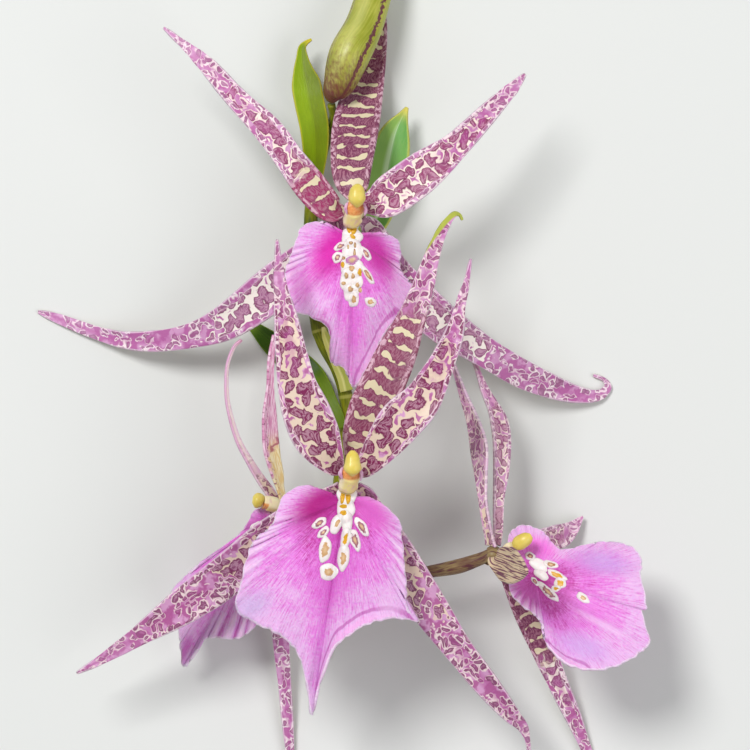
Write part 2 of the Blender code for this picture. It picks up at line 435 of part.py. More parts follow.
def stem_and_leaves():
    """The flower stem, which lies on the surface, with its bracts, leaves and buds."""
    tube("stem", [
        (-13.5, -69.2, 2.1, 1.9), (-12.2, -56.0, 2.3, 1.9), (-10.2, -41.0, 3.0, 1.9),
        (-8.5, -26.0, 3.8, 1.9), (-7.2, -13.8, 4.6, 1.8), (-7.2, -6.2, 5.0, 1.7), (-9.2, 1.2, 5.2, 1.75),
        (-12.6, 7.8, 5.3, 1.9), (-14.4, 13.8, 5.3, 1.9), (-15.8, 26.2, 5.2, 1.8), (-16.0, 40.0, 5.0, 1.7),
        (-14.6, 50.0, 5.2, 1.6), (-12.2, 58.8, 6.2, 1.3), (-10.5, 64.2, 8.6, 1.05),
        (-10.9, 67.6, 11.2, 1.0)], STEM_GREEN, rows=34)
    blade("upper_bract", [
        (-15.8, 42.2, 7.5, 1.0), (-15.4, 46.0, 8.0, 1.6), (-15.0, 51.8, 8.6, 2.4), (-14.9, 56.2, 9.6, 3.1),
        (-15.2, 62.2, 10.5, 3.6), (-16.5, 68.8, 10.6, 3.7), (-17.2, 72.8, 10.2, 3.6),
        (-17.9, 76.2, 9.8, 2.5), (-18.2, 79.2, 9.4, 1.5), (-18.2, 81.8, 9.0, 0.9), (-17.2, 83.1, 8.7, 0.5),
        (-15.9, 83.9, 8.4, 0.3)],
        LEAF_GREEN, cup=0.1, thick=LEAF_THICK)
    blade("upper_leaf", [
        (-13.8, 22.4, 7.4, 0.9), (-8.8, 26.8, 8.0, 1.6), (-4.2, 32.0, 8.5, 2.2), (0.0, 38.2, 9.0, 3.0),
        (1.8, 43.8, 9.5, 4.0), (2.8, 50.0, 9.5, 4.9), (4.0, 56.2, 9.0, 4.6), (5.2, 60.8, 8.5, 3.4),
        (7.0, 64.8, 8.0, 1.2), (8.0, 66.9, 7.5, 0.3)], LEAF_GREEN, cup=0.25, thick=LEAF_THICK)
    blade("lower_leaf", [
        (-8.6, -13.4, 7.3, 1.2), (-9.6, -10.4, 7.0, 1.8), (-11.6, -6.9, 6.0, 2.3), (-13.8, -3.4, 4.0, 3.1),
        (-16.5, -0.4, 1.6, 3.9), (-20.8, 3.8, 0.4, 3.6), (-25.8, 8.0, 0.3, 2.8), (-30.0, 11.8, 0.3, 1.5),
        (-33.2, 14.8, 0.3, 0.3)], LEAF_GREEN, cup=0.0, thick=LEAF_THICK)
    blade("sheath_bract", [
        (-7.1, -4.0, 7.7, 1.5), (-8.0, -0.4, 7.8, 1.5), (-10.2, 4.6, 7.9, 1.3), (-12.2, 9.4, 8.0, 0.9),
        (-13.0, 12.0, 8.0, 0.3)], LIME, cup=-0.15, rows=9)
    tube("main_bud", [
        (-11.0, 68.6, 12.0, 1.2), (-10.4, 70.6, 13.2, 2.8), (-8.8, 73.4, 14.6, 4.1), (-6.4, 80.0, 14.8, 5.1),
        (-2.9, 87.0, 13.4, 4.7), (-0.6, 93.8, 11.6, 4.4), (1.4, 98.8, 9.8, 3.8), (3.6, 105.0, 8.0, 2.6),
        (5.2, 109.2, 6.8, 1.2), (6.0, 111.2, 6.4, 0.3)], LIME, rows=16, sides=12)


def main():
    for old in list(bpy.data.objects):
        bpy.data.objects.remove(old)
    stem_and_leaves()
    upper_bloom()
    middle_bloom()
    right_bloom()
    left_bloom()


main()
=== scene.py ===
"""The looks of a cut spray of a cambria orchid: four open blooms, a bud, bracts and leaves.

The spray lies on its back. Its tip points along +Y and its blooms look up along +Z.
Lengths are millimetres, as they look from straight above, until a mesh is made of them.
"""

import math

import bmesh
import bpy
import numpy as np
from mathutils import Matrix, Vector
from mathutils.bvhtree import BVHTree


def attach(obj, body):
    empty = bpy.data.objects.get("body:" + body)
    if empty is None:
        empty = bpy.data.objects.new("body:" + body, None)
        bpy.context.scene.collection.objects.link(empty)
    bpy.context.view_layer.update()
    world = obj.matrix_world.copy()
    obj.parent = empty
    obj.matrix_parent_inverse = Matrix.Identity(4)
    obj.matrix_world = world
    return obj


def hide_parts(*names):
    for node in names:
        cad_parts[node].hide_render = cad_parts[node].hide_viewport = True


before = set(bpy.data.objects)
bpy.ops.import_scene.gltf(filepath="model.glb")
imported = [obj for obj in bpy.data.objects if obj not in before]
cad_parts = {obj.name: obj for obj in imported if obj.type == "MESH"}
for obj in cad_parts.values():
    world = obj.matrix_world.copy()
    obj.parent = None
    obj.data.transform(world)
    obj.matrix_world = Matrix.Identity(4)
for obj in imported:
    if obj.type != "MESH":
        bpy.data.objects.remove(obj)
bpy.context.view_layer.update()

# The flower stem
# A round green stem, half as thick as a pencil, cut off at its lower end. It lies on the
# surface, and a pale ring goes round it wherever a bract grows out of it.

MM = 0.001
MM_IN_CM = 10
FULL_TURN = 2 * math.pi
VIEW_HEIGHT = 900.0
MIDDLE_X = -9.01
MIDDLE_Y = 0.84
MERGE = 0.0005
MIN_RADIUS = 0.2
SHINE = 0.22
GLOW_DEPTH = 0.0008
RELIEF = 0.6


def placed(x, y, z):
    """The true place of a point that is drawn as it looks from straight above."""
    shrink = (VIEW_HEIGHT - z) / VIEW_HEIGHT
    return np.array([x * shrink - MIDDLE_X, y * shrink - MIDDLE_Y, z])


def unit(vector):
    return vector / np.linalg.norm(vector)


def hump(value, centre, width):
    """1 at the centre, and soon 0 away from it."""
    return math.exp(-(((value - centre) / width) ** 2))


def smooth(stations, count, closed=False):
    """A smooth run of rows through the given stations."""
    given = np.array(stations, float)
    last = len(given) if closed else len(given) - 1
    if closed:
        padded = np.vstack([given[-1], given, given[:2]])
    else:
        padded = np.vstack([2 * given[0] - given[1], given, 2 * given[-1] - given[-2]])
    rows = []
    for place in np.linspace(0, last, count):
        k = min(int(place), last - 1)
        t = place - k
        a, b, c, d = padded[k : k + 4]
        row = 2 * b + (c - a) * t + (2 * a - 5 * b + 4 * c - d) * t**2 + (3 * b - a - 3 * c + d) * t**3
        rows.append(row / 2)
    return np.array(rows)


def run_length(points):
    """How far along the run each of its points lies."""
    steps = np.linalg.norm(np.diff(points, axis=0), axis=1)
    return np.concatenate([[0.0], np.cumsum(steps)])


def blank(rows, columns, *sizes):
    """Empty grids, one for each size of what their places hold."""
    return [np.zeros((rows, columns, size)) for size in sizes]


def quads(rows, columns, start):
    """The faces of a grid whose first point has the number given as its start."""
    firsts = [start + i * columns + j for i in range(rows - 1) for j in range(columns - 1)]
    return [(a, a + 1, a + columns + 1, a + columns) for a in firsts]


def show(name, data):
    shown = bpy.data.objects.new(name, data)
    bpy.context.scene.collection.objects.link(shown)
    return shown


def grow(node, materials, patches, thick=0.0):
    """Makes the piece that stands for a node. The materials are for a sheet's front and its back.

    A patch is a grid of points and its maps: spread is each point's place on the surface in
    centimetres, and share is its share of the breadth and the length.
    """
    points = []
    faces = []
    for grid, _ in patches:
        faces += quads(*grid.shape[:2], len(points))
        points += (grid.reshape(-1, 3) * MM).tolist()
    mesh = bpy.data.meshes.new(node + "_look")
    mesh.from_pydata(points, [], faces)
    corners = np.empty(len(mesh.loops), int)
    mesh.loops.foreach_get("vertex_index", corners)
    for label in patches[0][1]:
        values = np.vstack([maps[label].reshape(-1, 2) for _, maps in patches])
        mesh.uv_layers.new(name=label).data.foreach_set("uv", values[corners].ravel())
    joined = bmesh.new()
    joined.from_mesh(mesh)
    bmesh.ops.remove_doubles(joined, verts=joined.verts, dist=MERGE * MM)
    if thick and sum(face.normal.z * face.calc_area() for face in joined.faces) < 0:
        bmesh.ops.reverse_faces(joined, faces=joined.faces)
    joined.to_mesh(mesh)
    joined.free()
    mesh.shade_smooth()
    for material in materials:
        mesh.materials.append(material)
    piece = show(node + "_look", mesh)
    if thick:
        solid = piece.modifiers.new("Thickness", "SOLIDIFY")
        solid.thickness = thick * MM
        solid.offset = 0
        solid.material_offset = len(materials) - 1
        solid.material_offset_rim = 0
    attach(piece, "root")
    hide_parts(node)
    return piece


def tube(stations, rows, sides=24, drawn=True, up=(0, 0, 1), fullness=None):
    """The skin of a round stem, bud or knob through stations of x, y, z and radius.

    Its breadth is shared out from the side away from up, round the left, and back again.
    """
    if drawn:
        stations = [(*placed(x, y, z), radius) for x, y, z, radius in stations]
    run = smooth(stations, rows)
    along = run_length(run[:, :3])
    grid, spread, share = blank(rows + 2, sides + 1, 3, 2, 2)
    up = np.array(up, float)
    for row in range(rows + 2):
        i = min(max(row - 1, 0), rows - 1)
        tangent = unit(run[min(i + 1, rows - 1)][:3] - run[max(i - 1, 0)][:3])
        up = unit(up - tangent * up.dot(tangent))
        side = np.cross(up, tangent)
        radius = max(run[i][3], MIN_RADIUS)
        for k, angle in enumerate(np.linspace(0, FULL_TURN, sides + 1)):
            reach = radius if 1 <= row <= rows else 0
            if fullness:
                reach *= fullness(angle, i / (rows - 1))
            spoke = side * math.sin(angle) - up * math.cos(angle)
            grid[row, k] = run[i][:3] + spoke * reach
            spread[row, k] = (angle * radius / MM_IN_CM, along[i] / MM_IN_CM)
            share[row, k] = (angle / FULL_TURN, i / (rows - 1))
    grid[0, -1], grid[-1, -1] = grid[0, 0], grid[-1, 0]
    return grid, {"spread": spread, "share": share}


def tint(code):
    """A colour from its six hex digits, as light is counted."""
    parts = [int(code[k : k + 2], 16) / 255 for k in (0, 2, 4)]
    return (*(p / 12.92 if p <= 0.04045 else ((p + 0.055) / 1.055) ** 2.4 for p in parts), 1)


def give(socket, value):
    """Sets an input to a value, to the colour of a code, or to what another node puts out."""
    if isinstance(value, bpy.types.NodeSocket):
        socket.id_data.links.new(value, socket)
    else:
        socket.default_value = tint(value) if isinstance(value, str) else value


def add(tree, kind, given=None, **settings):
    """One more node, with what its inputs are given."""
    node = tree.nodes.new("ShaderNode" + kind)
    for key, value in settings.items():
        setattr(node, key, value)
    for key, value in (given or {}).items():
        give(node.inputs[key], value)
    return node


def after(kind, given, **settings):
    """What a node puts out that works on other nodes of its tree."""
    tree = next(value.id_data for value in given.values() if isinstance(value, bpy.types.NodeSocket))
    return add(tree, kind, given, **settings).outputs


def number(operation, *values):
    return after("Math", dict(enumerate(values)), operation=operation)[0]


def plus(first, second):
    return number("ADD", first, second)


def minus(first, second):
    return number("SUBTRACT", first, second)


def times(first, second):
    return number("MULTIPLY", first, second)


def larger(first, second):
    return number("MAXIMUM", first, second)


def apart(first, second):
    return number("ABSOLUTE", minus(first, second))


def ease(value, low, high):
    """A soft step from 0 at low to 1 at high."""
    given = {"Value": value, "From Min": low, "From Max": high}
    return after("MapRange", given, interpolation_type="SMOOTHSTEP")[0]


def mixed(factor, first, second):
    return after("Mix", {0: factor, 6: first, 7: second}, data_type="RGBA")[2]


def over(colour, second, mask, strength=None):
    """A colour with a second one laid over it where the mask says."""
    return mixed(times(mask, strength) if strength else mask, colour, second)


def layers(colour, *laid):
    """A colour with others laid over it in turn, each with its mask and its strength."""
    for layer in laid:
        colour = over(colour, *layer)
    return colour


def sway(value, amount):
    """A noise as a push to and fro."""
    return times(minus(value, 0.5), amount)


def scaled(vector, x, y):
    return after("VectorMath", {0: vector, 1: (x, y, 1)}, operation="MULTIPLY")[0]


def noise(vector, scale, detail=2.0, output="Fac"):
    given = {"Vector": vector, "Scale": scale, "Detail": detail}
    return after("TexNoise", given, noise_dimensions="2D")[output]


def surface_map(tree, label="spread"):
    return add(tree, "UVMap", uv_map=label).outputs["UV"]


def shares(tree, label="share"):
    """The two numbers of a map: how far across and how far along the surface."""
    return add(tree, "SeparateXYZ", {0: surface_map(tree, label)}).outputs[:2]


def ramp(value, colours):
    """A run of colours, each with the value where it is reached."""
    node = add(value.id_data, "ValToRGB", {0: value})
    stops = node.color_ramp.elements
    while len(stops) < len(colours):
        stops.new(0.5)
    for stop, (place, code) in zip(stops, colours):
        stop.position = place
        stop.color = tint(code)
    return node.outputs["Color"]


def finish(name, roughness, sheen=0.0, coat=0.0, glow=0.0):
    """A material with its shader."""
    material = bpy.data.materials.new(name)
    material.use_nodes = True
    shader = material.node_tree.nodes["Principled BSDF"]
    given = {"Roughness": roughness, "Specular IOR Level": SHINE, "Sheen Weight": sheen, "Coat Weight": coat,
             "Coat Roughness": 0.25, "Subsurface Weight": glow, "Subsurface Radius": (1.0, 0.5, 0.6),
             "Subsurface Scale": GLOW_DEPTH}
    for key, value in given.items():
        give(shader.inputs[key], value)
    return material, material.node_tree, shader


def paint(shader, colour, height, depth):
    """Gives a shader its colour, and a relief as deep as the depth in millimetres."""
    give(shader.inputs["Base Color"], colour)
    raised = after("Bump", {"Height": height, "Distance": depth * MM, "Strength": RELIEF})
    give(shader.inputs["Normal"], raised["Normal"])


def new_group(name, outputs, **inputs):
    """A shader node group, with what its inputs bring and the sockets that take its results."""
    group = bpy.data.node_groups.new(name, "ShaderNodeTree")
    for label, value in inputs.items():
        kind = {str: "NodeSocketColor", tuple: "NodeSocketVector"}.get(type(value), "NodeSocketFloat")
        give(group.interface.new_socket(name=label, in_out="INPUT", socket_type=kind), value)
    for label, kind in outputs:
        group.interface.new_socket(name=label, in_out="OUTPUT", socket_type=kind)
    return group, group.nodes.new("NodeGroupInput").outputs, group.nodes.new("NodeGroupOutput").inputs


def use(tree, group, **given):
    return add(tree, "Group", given, node_tree=group).outputs


WAXY = dict(roughness=0.42, sheen=0.05, coat=0.08, glow=0.08)
LOOKS = (("Colour", "NodeSocketColor"), ("Height", "NodeSocketFloat"))

fibres, entry, end = new_group("plant fibres", LOOKS, First="6E7E18", Second="8C9A30", Fineness=9.0)
place = surface_map(fibres)
lines = noise(scaled(place, 4.0, 0.35), entry["Fineness"], 3)
clouds = noise(place, 1.3, 3)
both = plus(times(lines, 0.55), times(clouds, 0.75))
give(end["Colour"], mixed(ease(both, 0.45, 0.85), entry["First"], entry["Second"]))
give(end["Height"], lines)

STEM = [
    (-13.5, -69.2, 2.1, 1.9), (-12.2, -56, 2.3, 1.9), (-10.2, -41, 3, 1.9), (-8.5, -26, 3.8, 1.9),
    (-7.2, -13.8, 4.6, 1.8), (-7.2, -6.2, 5, 1.7), (-9.2, 1.2, 5.2, 1.75), (-12.6, 7.8, 5.3, 1.9),
    (-14.4, 13.8, 5.3, 1.9), (-15.8, 26.2, 5.2, 1.8), (-16, 40, 5, 1.7), (-14.6, 50, 5.2, 1.6),
    (-12.2, 58.8, 6.2, 1.3), (-10.5, 64.2, 8.6, 1.05), (-10.9, 67.6, 11.2, 1)]
NODE_RINGS = (0.365, 0.545, 0.76)

stem_skin, tree, shader = finish("stem_skin", 0.45, coat=0.05, glow=0.05)
across, along = shares(tree)
skin = use(tree, fibres, First="4A5802", Second="84880E", Fineness=8.0)
colour = over(skin["Colour"], "62561C", ease(across, 0.45, 0.7), 0.6)
for ring in NODE_RINGS:
    colour = over(colour, "B8B65A", ease(apart(along, ring), 0.006, 0.002), 0.55)
paint(shader, colour, skin["Height"], 0.15)


def stem_fullness(angle, share):
    """The stem swells a little at each of its rings."""
    return 1 + 0.07 * sum(hump(share, ring, 0.012) for ring in NODE_RINGS)


grow("stem", [stem_skin], [tube(STEM, 150, fullness=stem_fullness)])

# The bracts and leaves
# Strap leaves of the spray, folded along the midrib and drawn out to a point. They are tough and
# glossy, and each clasps the stem where it grows from it.

HUB_RADIUS = 2.5
GAP = 0.35
CLAW_HALF_WIDTH = 1.1
MIN_HALF_WIDTH = 0.15
BLADE_THICK = 0.7
BLADE_COLUMNS = 15
WAVES = 3


def blade(stations, hub=None, roll=0, cup=0.12, wave=0.0, keel=0.0, ruffle=0.0, rows=72, shift=0.0):
    """A petal, sepal or leaf along stations of x, y, z and half its width.

    Keel folds it along its midrib, ruffle crimps its margins, and shift moves its markings.
    """
    true = [(*placed(x, y, z), half * (VIEW_HEIGHT - z) / VIEW_HEIGHT) for x, y, z, half in stations]
    if hub is not None:
        outward = unit(np.array(true[0][:3]) - hub)
        true.insert(0, (*(hub + outward * (HUB_RADIUS + GAP)), CLAW_HALF_WIDTH))
    run = smooth(true, rows)
    lengths = run_length(run[:, :3])
    turn = math.radians(roll)
    grid, spread, share = blank(rows, BLADE_COLUMNS, 3, 2, 2)
    for i, (x, y, z, half) in enumerate(run):
        tangent = unit(run[min(i + 2, rows - 1)][:3] - run[max(i - 2, 0)][:3])
        side = unit(np.array([tangent[1], -tangent[0], 0]))
        up = np.cross(side, tangent)
        across = side * math.cos(turn) + up * math.sin(turn)
        out = up * math.cos(turn) - side * math.sin(turn)
        part = i / (rows - 1)
        fade = math.sin(math.pi * part) ** 0.7
        true_half = max(half, MIN_HALF_WIDTH) / math.cos(turn)
        for j, u in enumerate(np.linspace(-1, 1, BLADE_COLUMNS)):
            ripple = wave * fade * u * abs(u) * math.sin(FULL_TURN * WAVES * part + u)
            crimp = math.sin(1.1 * lengths[i] + 2 * u) + 0.6 * math.sin(1.9 * lengths[i] - 3 * u + shift)
            lift = cup * true_half * (u * u - 0.3) + ripple
            lift += keel * fade * (abs(u) - 0.5) + ruffle * fade * abs(u) ** 3 * crimp
            point = np.array([x, y, z]) + across * u * true_half + out * lift
            point[2] = max(point[2], BLADE_THICK / 2)
            grid[i, j] = point
            spread[i, j] = (u * true_half / MM_IN_CM + shift, lengths[i] / MM_IN_CM + shift)
            share[i, j] = ((u + 1) / 2, part)
    return grid, {"spread": spread, "share": share}


def leaf_skin(name, left, right, painted_highlight, highlight_place, tip, base=None):
    """A glossy leaf with a lighter left half, a painted highlight beside and along its midrib, and a yellow
    tip.
    """
    material, tree, shader = finish(name, 0.42, glow=0.08)
    across, along = shares(tree)
    skin = use(tree, fibres, First=left, Second=right, Fineness=11.0)
    colour = over(mixed(ease(across, 0.40, 0.56), left, right), skin["Colour"], 0.3)
    # Painted highlight: a pale band beside the midrib, fading out towards the tip.
    highlit = times(ease(apart(across, highlight_place), 0.13, 0.0), ease(along, 1.0, 0.55))
    colour = over(colour, painted_highlight, highlit, 0.7)
    # Painted light: a base colour, where given, lightens the part near the stem that the petals above shade.
    if base:
        colour = over(colour, base, ease(along, 0.55, 0.35))
    from_rib = apart(across, 0.5)
    # A thin painted highlight along the midrib, then yellow margins and a yellow tip.
    colour = layers(colour, (painted_highlight, ease(from_rib, 0.03, 0.0), 0.5), (tip, ease(from_rib, 0.44, 0.5), 0.6),
                    (tip, ease(along, 0.82, 0.97)))
    paint(shader, colour, skin["Height"], 0.12)
    return material


def leaf(node, slot, skin, stations, **shape):
    grow(node, [skin], [blade(stations, **shape)], BLADE_THICK)


# The third colour of each leaf is its painted highlight; the number after it places it across the leaf.
upper_bract_skin = leaf_skin("upper_bract_skin", "88A604", "6E8004", "88A40A", 0.26, "D6C63A")
upper_leaf_skin = leaf_skin("upper_leaf_skin", "8FB558", "65A44C", "CFE6BE", 0.46, "D9CF62")
# The lower leaf's last colour is painted light near its base, where the petals above shade it.
lower_leaf_skin = leaf_skin("lower_leaf_skin", "3E6204", "264402", "507612", 0.62, "8FA83A", "627C0A")
sheath_skin = leaf_skin("sheath_skin", "C4C36A", "A5AE4C", "DCDB92", 0.40, "D2CF86")

leaf("upper_bract", "bracts_and_leaves", upper_bract_skin, [
    (-15.8, 42.2, 7.5, 1), (-15.4, 46, 8, 1.6), (-15, 51.8, 8.6, 2.4), (-14.9, 56.2, 9.6, 3.1),
    (-15.2, 62.2, 10.5, 3.6), (-16.5, 68.8, 10.6, 3.7), (-17.2, 72.8, 10.2, 3.6), (-17.9, 76.2, 9.8, 2.5),
    (-18.2, 79.2, 9.4, 1.5), (-18.2, 81.8, 9, 0.9), (-17.2, 83.1, 8.7, 0.5), (-15.9, 83.9, 8.4, 0.3)],
    cup=0.1, keel=0.25)
leaf("upper_leaf", "bracts_and_leaves", upper_leaf_skin, [
    (-13.8, 22.4, 7.4, 0.9), (-8.8, 26.8, 8, 1.6), (-4.2, 32, 8.5, 2.2), (0, 38.2, 9, 3),
    (1.8, 43.8, 9.5, 4), (2.8, 50, 9.5, 4.9), (4, 56.2, 9, 4.6), (5.2, 60.8, 8.5, 3.4),
    (7, 64.8, 8, 1.2), (8, 66.9, 7.5, 0.3)], cup=0.25, keel=0.4)
leaf("lower_leaf", "bracts_and_leaves", lower_leaf_skin, [
    (-8.6, -13.4, 7.3, 1.2), (-9.6, -10.4, 7, 1.8), (-11.6, -6.9, 6, 2.3), (-13.8, -3.4, 4, 3.1),
    (-16.5, -0.4, 1.6, 3.9), (-20.8, 3.8, 0.4, 3.6), (-25.8, 8, 0.3, 2.8), (-30, 11.8, 0.3, 1.5),
    (-33.2, 14.8, 0.3, 0.3)], cup=0, keel=0.3)
leaf("sheath_bract", "sheath", sheath_skin, [
    (-7.1, -4, 7.7, 1.5), (-8, -0.4, 7.8, 1.5), (-10.2, 4.6, 7.9, 1.3), (-12.2, 9.4, 8, 0.9),
    (-13, 12, 8, 0.3)], cup=-0.15, rows=40)

# The bud
# One plump closed bud at the tip of the spray, made of sepals pressed edge to edge. It is waxy and
# pale green, with a dark blotched seam down its right side and a purple brown base.

MAIN_BUD = [
    (-11, 68.6, 12, 1.2), (-10.4, 70.6, 13.2, 2.8), (-8.8, 73.4, 14.6, 4.1), (-6.4, 80, 14.8, 5.1),
    (-2.9, 87, 13.4, 4.7), (-0.6, 93.8, 11.6, 4.4), (1.4, 98.8, 9.8, 3.8), (3.6, 105, 8, 2.6),
    (5.2, 109.2, 6.8, 1.2), (6, 111.2, 6.4, 0.3)]
SEAM = 0.60
LEFT_SEAM = 0.28

bud_skin, tree, shader = finish("bud_skin", 0.36, coat=0.2, glow=0.1)
across, along = shares(tree)
skin = use(tree, fibres, First="8E9428", Second="B0B04A", Fineness=6.0)
colour = mixed(ease(across, 0.62, 0.72), skin["Colour"], "A4AC30")
# Painted highlight: a pale band along the bud, left of its top.
colour = over(colour, "D4D284", ease(apart(across, 0.42), 0.09, 0.0), 0.4)
patchy = noise(surface_map(tree), 11.0, 3)
for seam, width in ((SEAM, 0.045), (LEFT_SEAM, 0.018)):
    ragged = plus(ease(apart(across, seam), width, 0.0), times(minus(patchy, 0.66), 2.0))
    colour = over(colour, "6B3A3E", ease(ragged, 0.2, 0.45))
base = plus(along, sway(patchy, 0.25))
colour = over(colour, "703C34", ease(base, 0.38, 0.12))
paint(shader, colour, skin["Height"], 0.15)


def bud_fullness(angle, share):
    """The sepals meet in shallow grooves along the two seams."""
    return 1 - 0.05 * sum(hump(angle / FULL_TURN, seam, 0.02) for seam in (SEAM, LEFT_SEAM))


grow("main_bud", [bud_skin], [tube(MAIN_BUD, 60, sides=64, fullness=bud_fullness)])

# The stalks of the blooms
# Each bloom has a thin green stalk that swells into the ovary and ends in the round hub where its
# petals, sepals and lip all meet. The stalk of the right bloom is browner, with purple streaks.

HUBS = {
    "upper": placed(-5.2, 40.8, 29.5), "middle": placed(-6.5, -25.8, 44.5),
    "right": placed(29.6, -45.2, 23.5), "left": placed(-22.0, -33.8, 21.5)}
HUB_SHAPE = ((-2.3, 0.62), (-1.2, 0.88), (0, 1.0), (1.3, 0.86), (2.3, 0.4))


def stalk_skin(name, first, second, streak):
    material, tree, shader = finish(name, 0.45, coat=0.1, glow=0.05)
    skin = use(tree, fibres, First=first, Second=second, Fineness=9.0)
    streaks = noise(scaled(surface_map(tree), 3.0, 0.5), 5.0, 3)
    colour = over(skin["Colour"], streak, ease(streaks, 0.5, 0.68), 0.8)
    paint(shader, colour, skin["Height"], 0.15)
    return material


def hub_of(node):
    """The hub of the bloom that a piece is named after."""
    return HUBS[node.split("_")[0]]


def stalk(node, material, stations, facing):
    hub = hub_of(node)
    true = [(*placed(x, y, z), radius) for x, y, z, radius in stations]
    facing = unit(np.array(facing, float))
    for along, part in HUB_SHAPE:
        true.append((*(hub + facing * along), HUB_RADIUS * part))
    grow(node, [material], [tube(true, 60, drawn=False, up=(0.1, -1, 0.3))])


green_stalk = stalk_skin("green_stalk", "A7AE5C", "D3CB9C", "9A5578")
brown_stalk = stalk_skin("brown_stalk", "6A4A3A", "968258", "582A38")
stalk("upper_pedicel", green_stalk, [
    (-13.6, 17, 8.5, 1), (-11.9, 22.5, 10.5, 1.1), (-9, 31, 15.5, 1.3), (-6.6, 38, 22, 1.5)],
    (0, -0.1, 1))
stalk("middle_pedicel", green_stalk, [
    (-8.2, -34, 6.6, 1), (-8.2, -31, 12, 1.1), (-7.8, -28.5, 24, 1.3), (-7, -26.4, 36, 1.5)],
    (0, -0.1, 1))
stalk("right_pedicel", brown_stalk, [
    (-9, -51.6, 3.6, 1.1), (-2, -51, 6.5, 1.2), (6, -50.4, 12, 1.4), (13.5, -49.2, 17, 1.5),
    (21, -47.8, 20.8, 1.8)], (1, 0.2, 0.2))
stalk("left_pedicel", green_stalk, [
    (-13.3, -38.4, 4.2, 1), (-14.2, -37.6, 8, 1.1), (-16, -36.4, 13, 1.3), (-18.4, -34.8, 18, 1.5)],
    (-1, 0.1, 0.3))

# The petals and sepals of the upper bloom
# Five long pointed blades, firm and waxy. Maroon blotches crowd on a cream ground near the hub, and
# grow small on a pink ground towards the margins and the tips. They join the hub by narrow claws.

HIDDEN = 0.3

leopard, entry, end = new_group(
    "leopard blotches", LOOKS, Count=3.3, Size=0.46, Join=0.16, Reach=0.5, Band=0.8, Lost=0.06, Halo=0.075,
    Faded=0.15, Maroon="7A2250", Cream="DFCAB4", Pink="AC5C92")
place = surface_map(leopard)
share_x, share_y = shares(leopard)
margin = times(apart(share_x, 0.5), 2.0)


def pushed(vector, scale, amount):
    """A place pushed about by noise, in centimetres, so that round shapes grow lobes."""
    warp = noise(vector, scale, 1.0, "Color")
    push = after("VectorMath", {0: warp, 1: (0.5, 0.5, 0.5)}, operation="SUBTRACT")[0]
    push = after("VectorMath", {0: push, "Scale": amount}, operation="SCALE")[0]
    return after("VectorMath", {0: vector, 1: push}, operation="ADD")[0]


def spots(vector, count, radius, lost):
    """How deep each place lies in round spots that melt together, of which a share is lost."""
    given = {"Vector": vector, "Scale": count, "Randomness": 0.85}
    nearest = after("TexVoronoi", given, voronoi_dimensions="2D")["Color"]
    chance = after("SeparateColor", {0: nearest})[0]
    given["Smoothness"] = 0.22
    melted = after("TexVoronoi", given, voronoi_dimensions="2D", feature="SMOOTH_F1")["Distance"]
    gone = times(ease(minus(chance, lost), 0.0, -0.12), HIDDEN)
    return minus(number("DIVIDE", minus(radius, melted), count), gone)


bent = pushed(pushed(place, 3.2, 0.26), 8.0, 0.10)
uneven = minus(noise(place, 1.9, 2), 0.5)
far = ease(minus(plus(share_y, times(uneven, 0.3)), entry["Reach"]), 0.0, 0.06)
edge = plus(plus(margin, times(uneven, 0.4)), times(share_y, 0.2))
edge = ease(minus(edge, entry["Band"]), -0.03, 0.05)
tip_part = ease(share_y, 0.70, 0.86)
fine = larger(edge, larger(far, tip_part))
radius = plus(entry["Size"], sway(noise(place, 1.7, 1), entry["Join"]))
radius = plus(radius, times(ease(share_y, 0.34, 0.06), 0.08))
big = minus(spots(bent, entry["Count"], radius, 0.04), times(fine, HIDDEN))
lost = plus(entry["Lost"], times(tip_part, 0.1))
small = spots(scaled(bent, 1.0, 0.66), times(entry["Count"], 2.0), 0.36, lost)
small = minus(small, times(minus(1.0, fine), HIDDEN))
inside = larger(big, small)
blotch = ease(inside, -0.010, 0.008)
outside = after("Mix", {0: fine, 2: times(entry["Halo"], -1.0), 3: -0.022}, data_type="FLOAT")[0]
halo = ease(minus(inside, outside), -0.016, 0.006)
streaks = noise(scaled(bent, 1.6, 0.7), 15.0, 3)
clouds = noise(place, 4.0, 3)
ground = mixed(ease(clouds, 0.42, 0.62), entry["Pink"], "CE98C0")
ground = over(ground, over(entry["Cream"], "EEDAE4", fine, 0.6), halo, 0.95)
light = times(ease(streaks, 0.42, 0.56), ease(inside, 0.012, 0.04))
maroon = layers(
    entry["Maroon"],
    (mixed(0.36, entry["Maroon"], "F2CCDA"), light, 0.85),
    ("6E244C", ease(inside, 0.040, 0.012), 0.6),
    ("B880AA", fine, entry["Faded"]))
centre = times(ease(share_y, 0.4, 0.6), ease(margin, 0.6, 0.1))
give(end["Colour"], layers(
    mixed(blotch, ground, maroon),
    ("DCA8D2", tip_part, 0.2),
    ("A9418E", times(centre, ease(clouds, 0.30, 0.55)), 0.5),
    ("EED6E6", ease(margin, 0.93, 1.0), 0.6)))
give(end["Height"], plus(streaks, times(blotch, 0.5)))

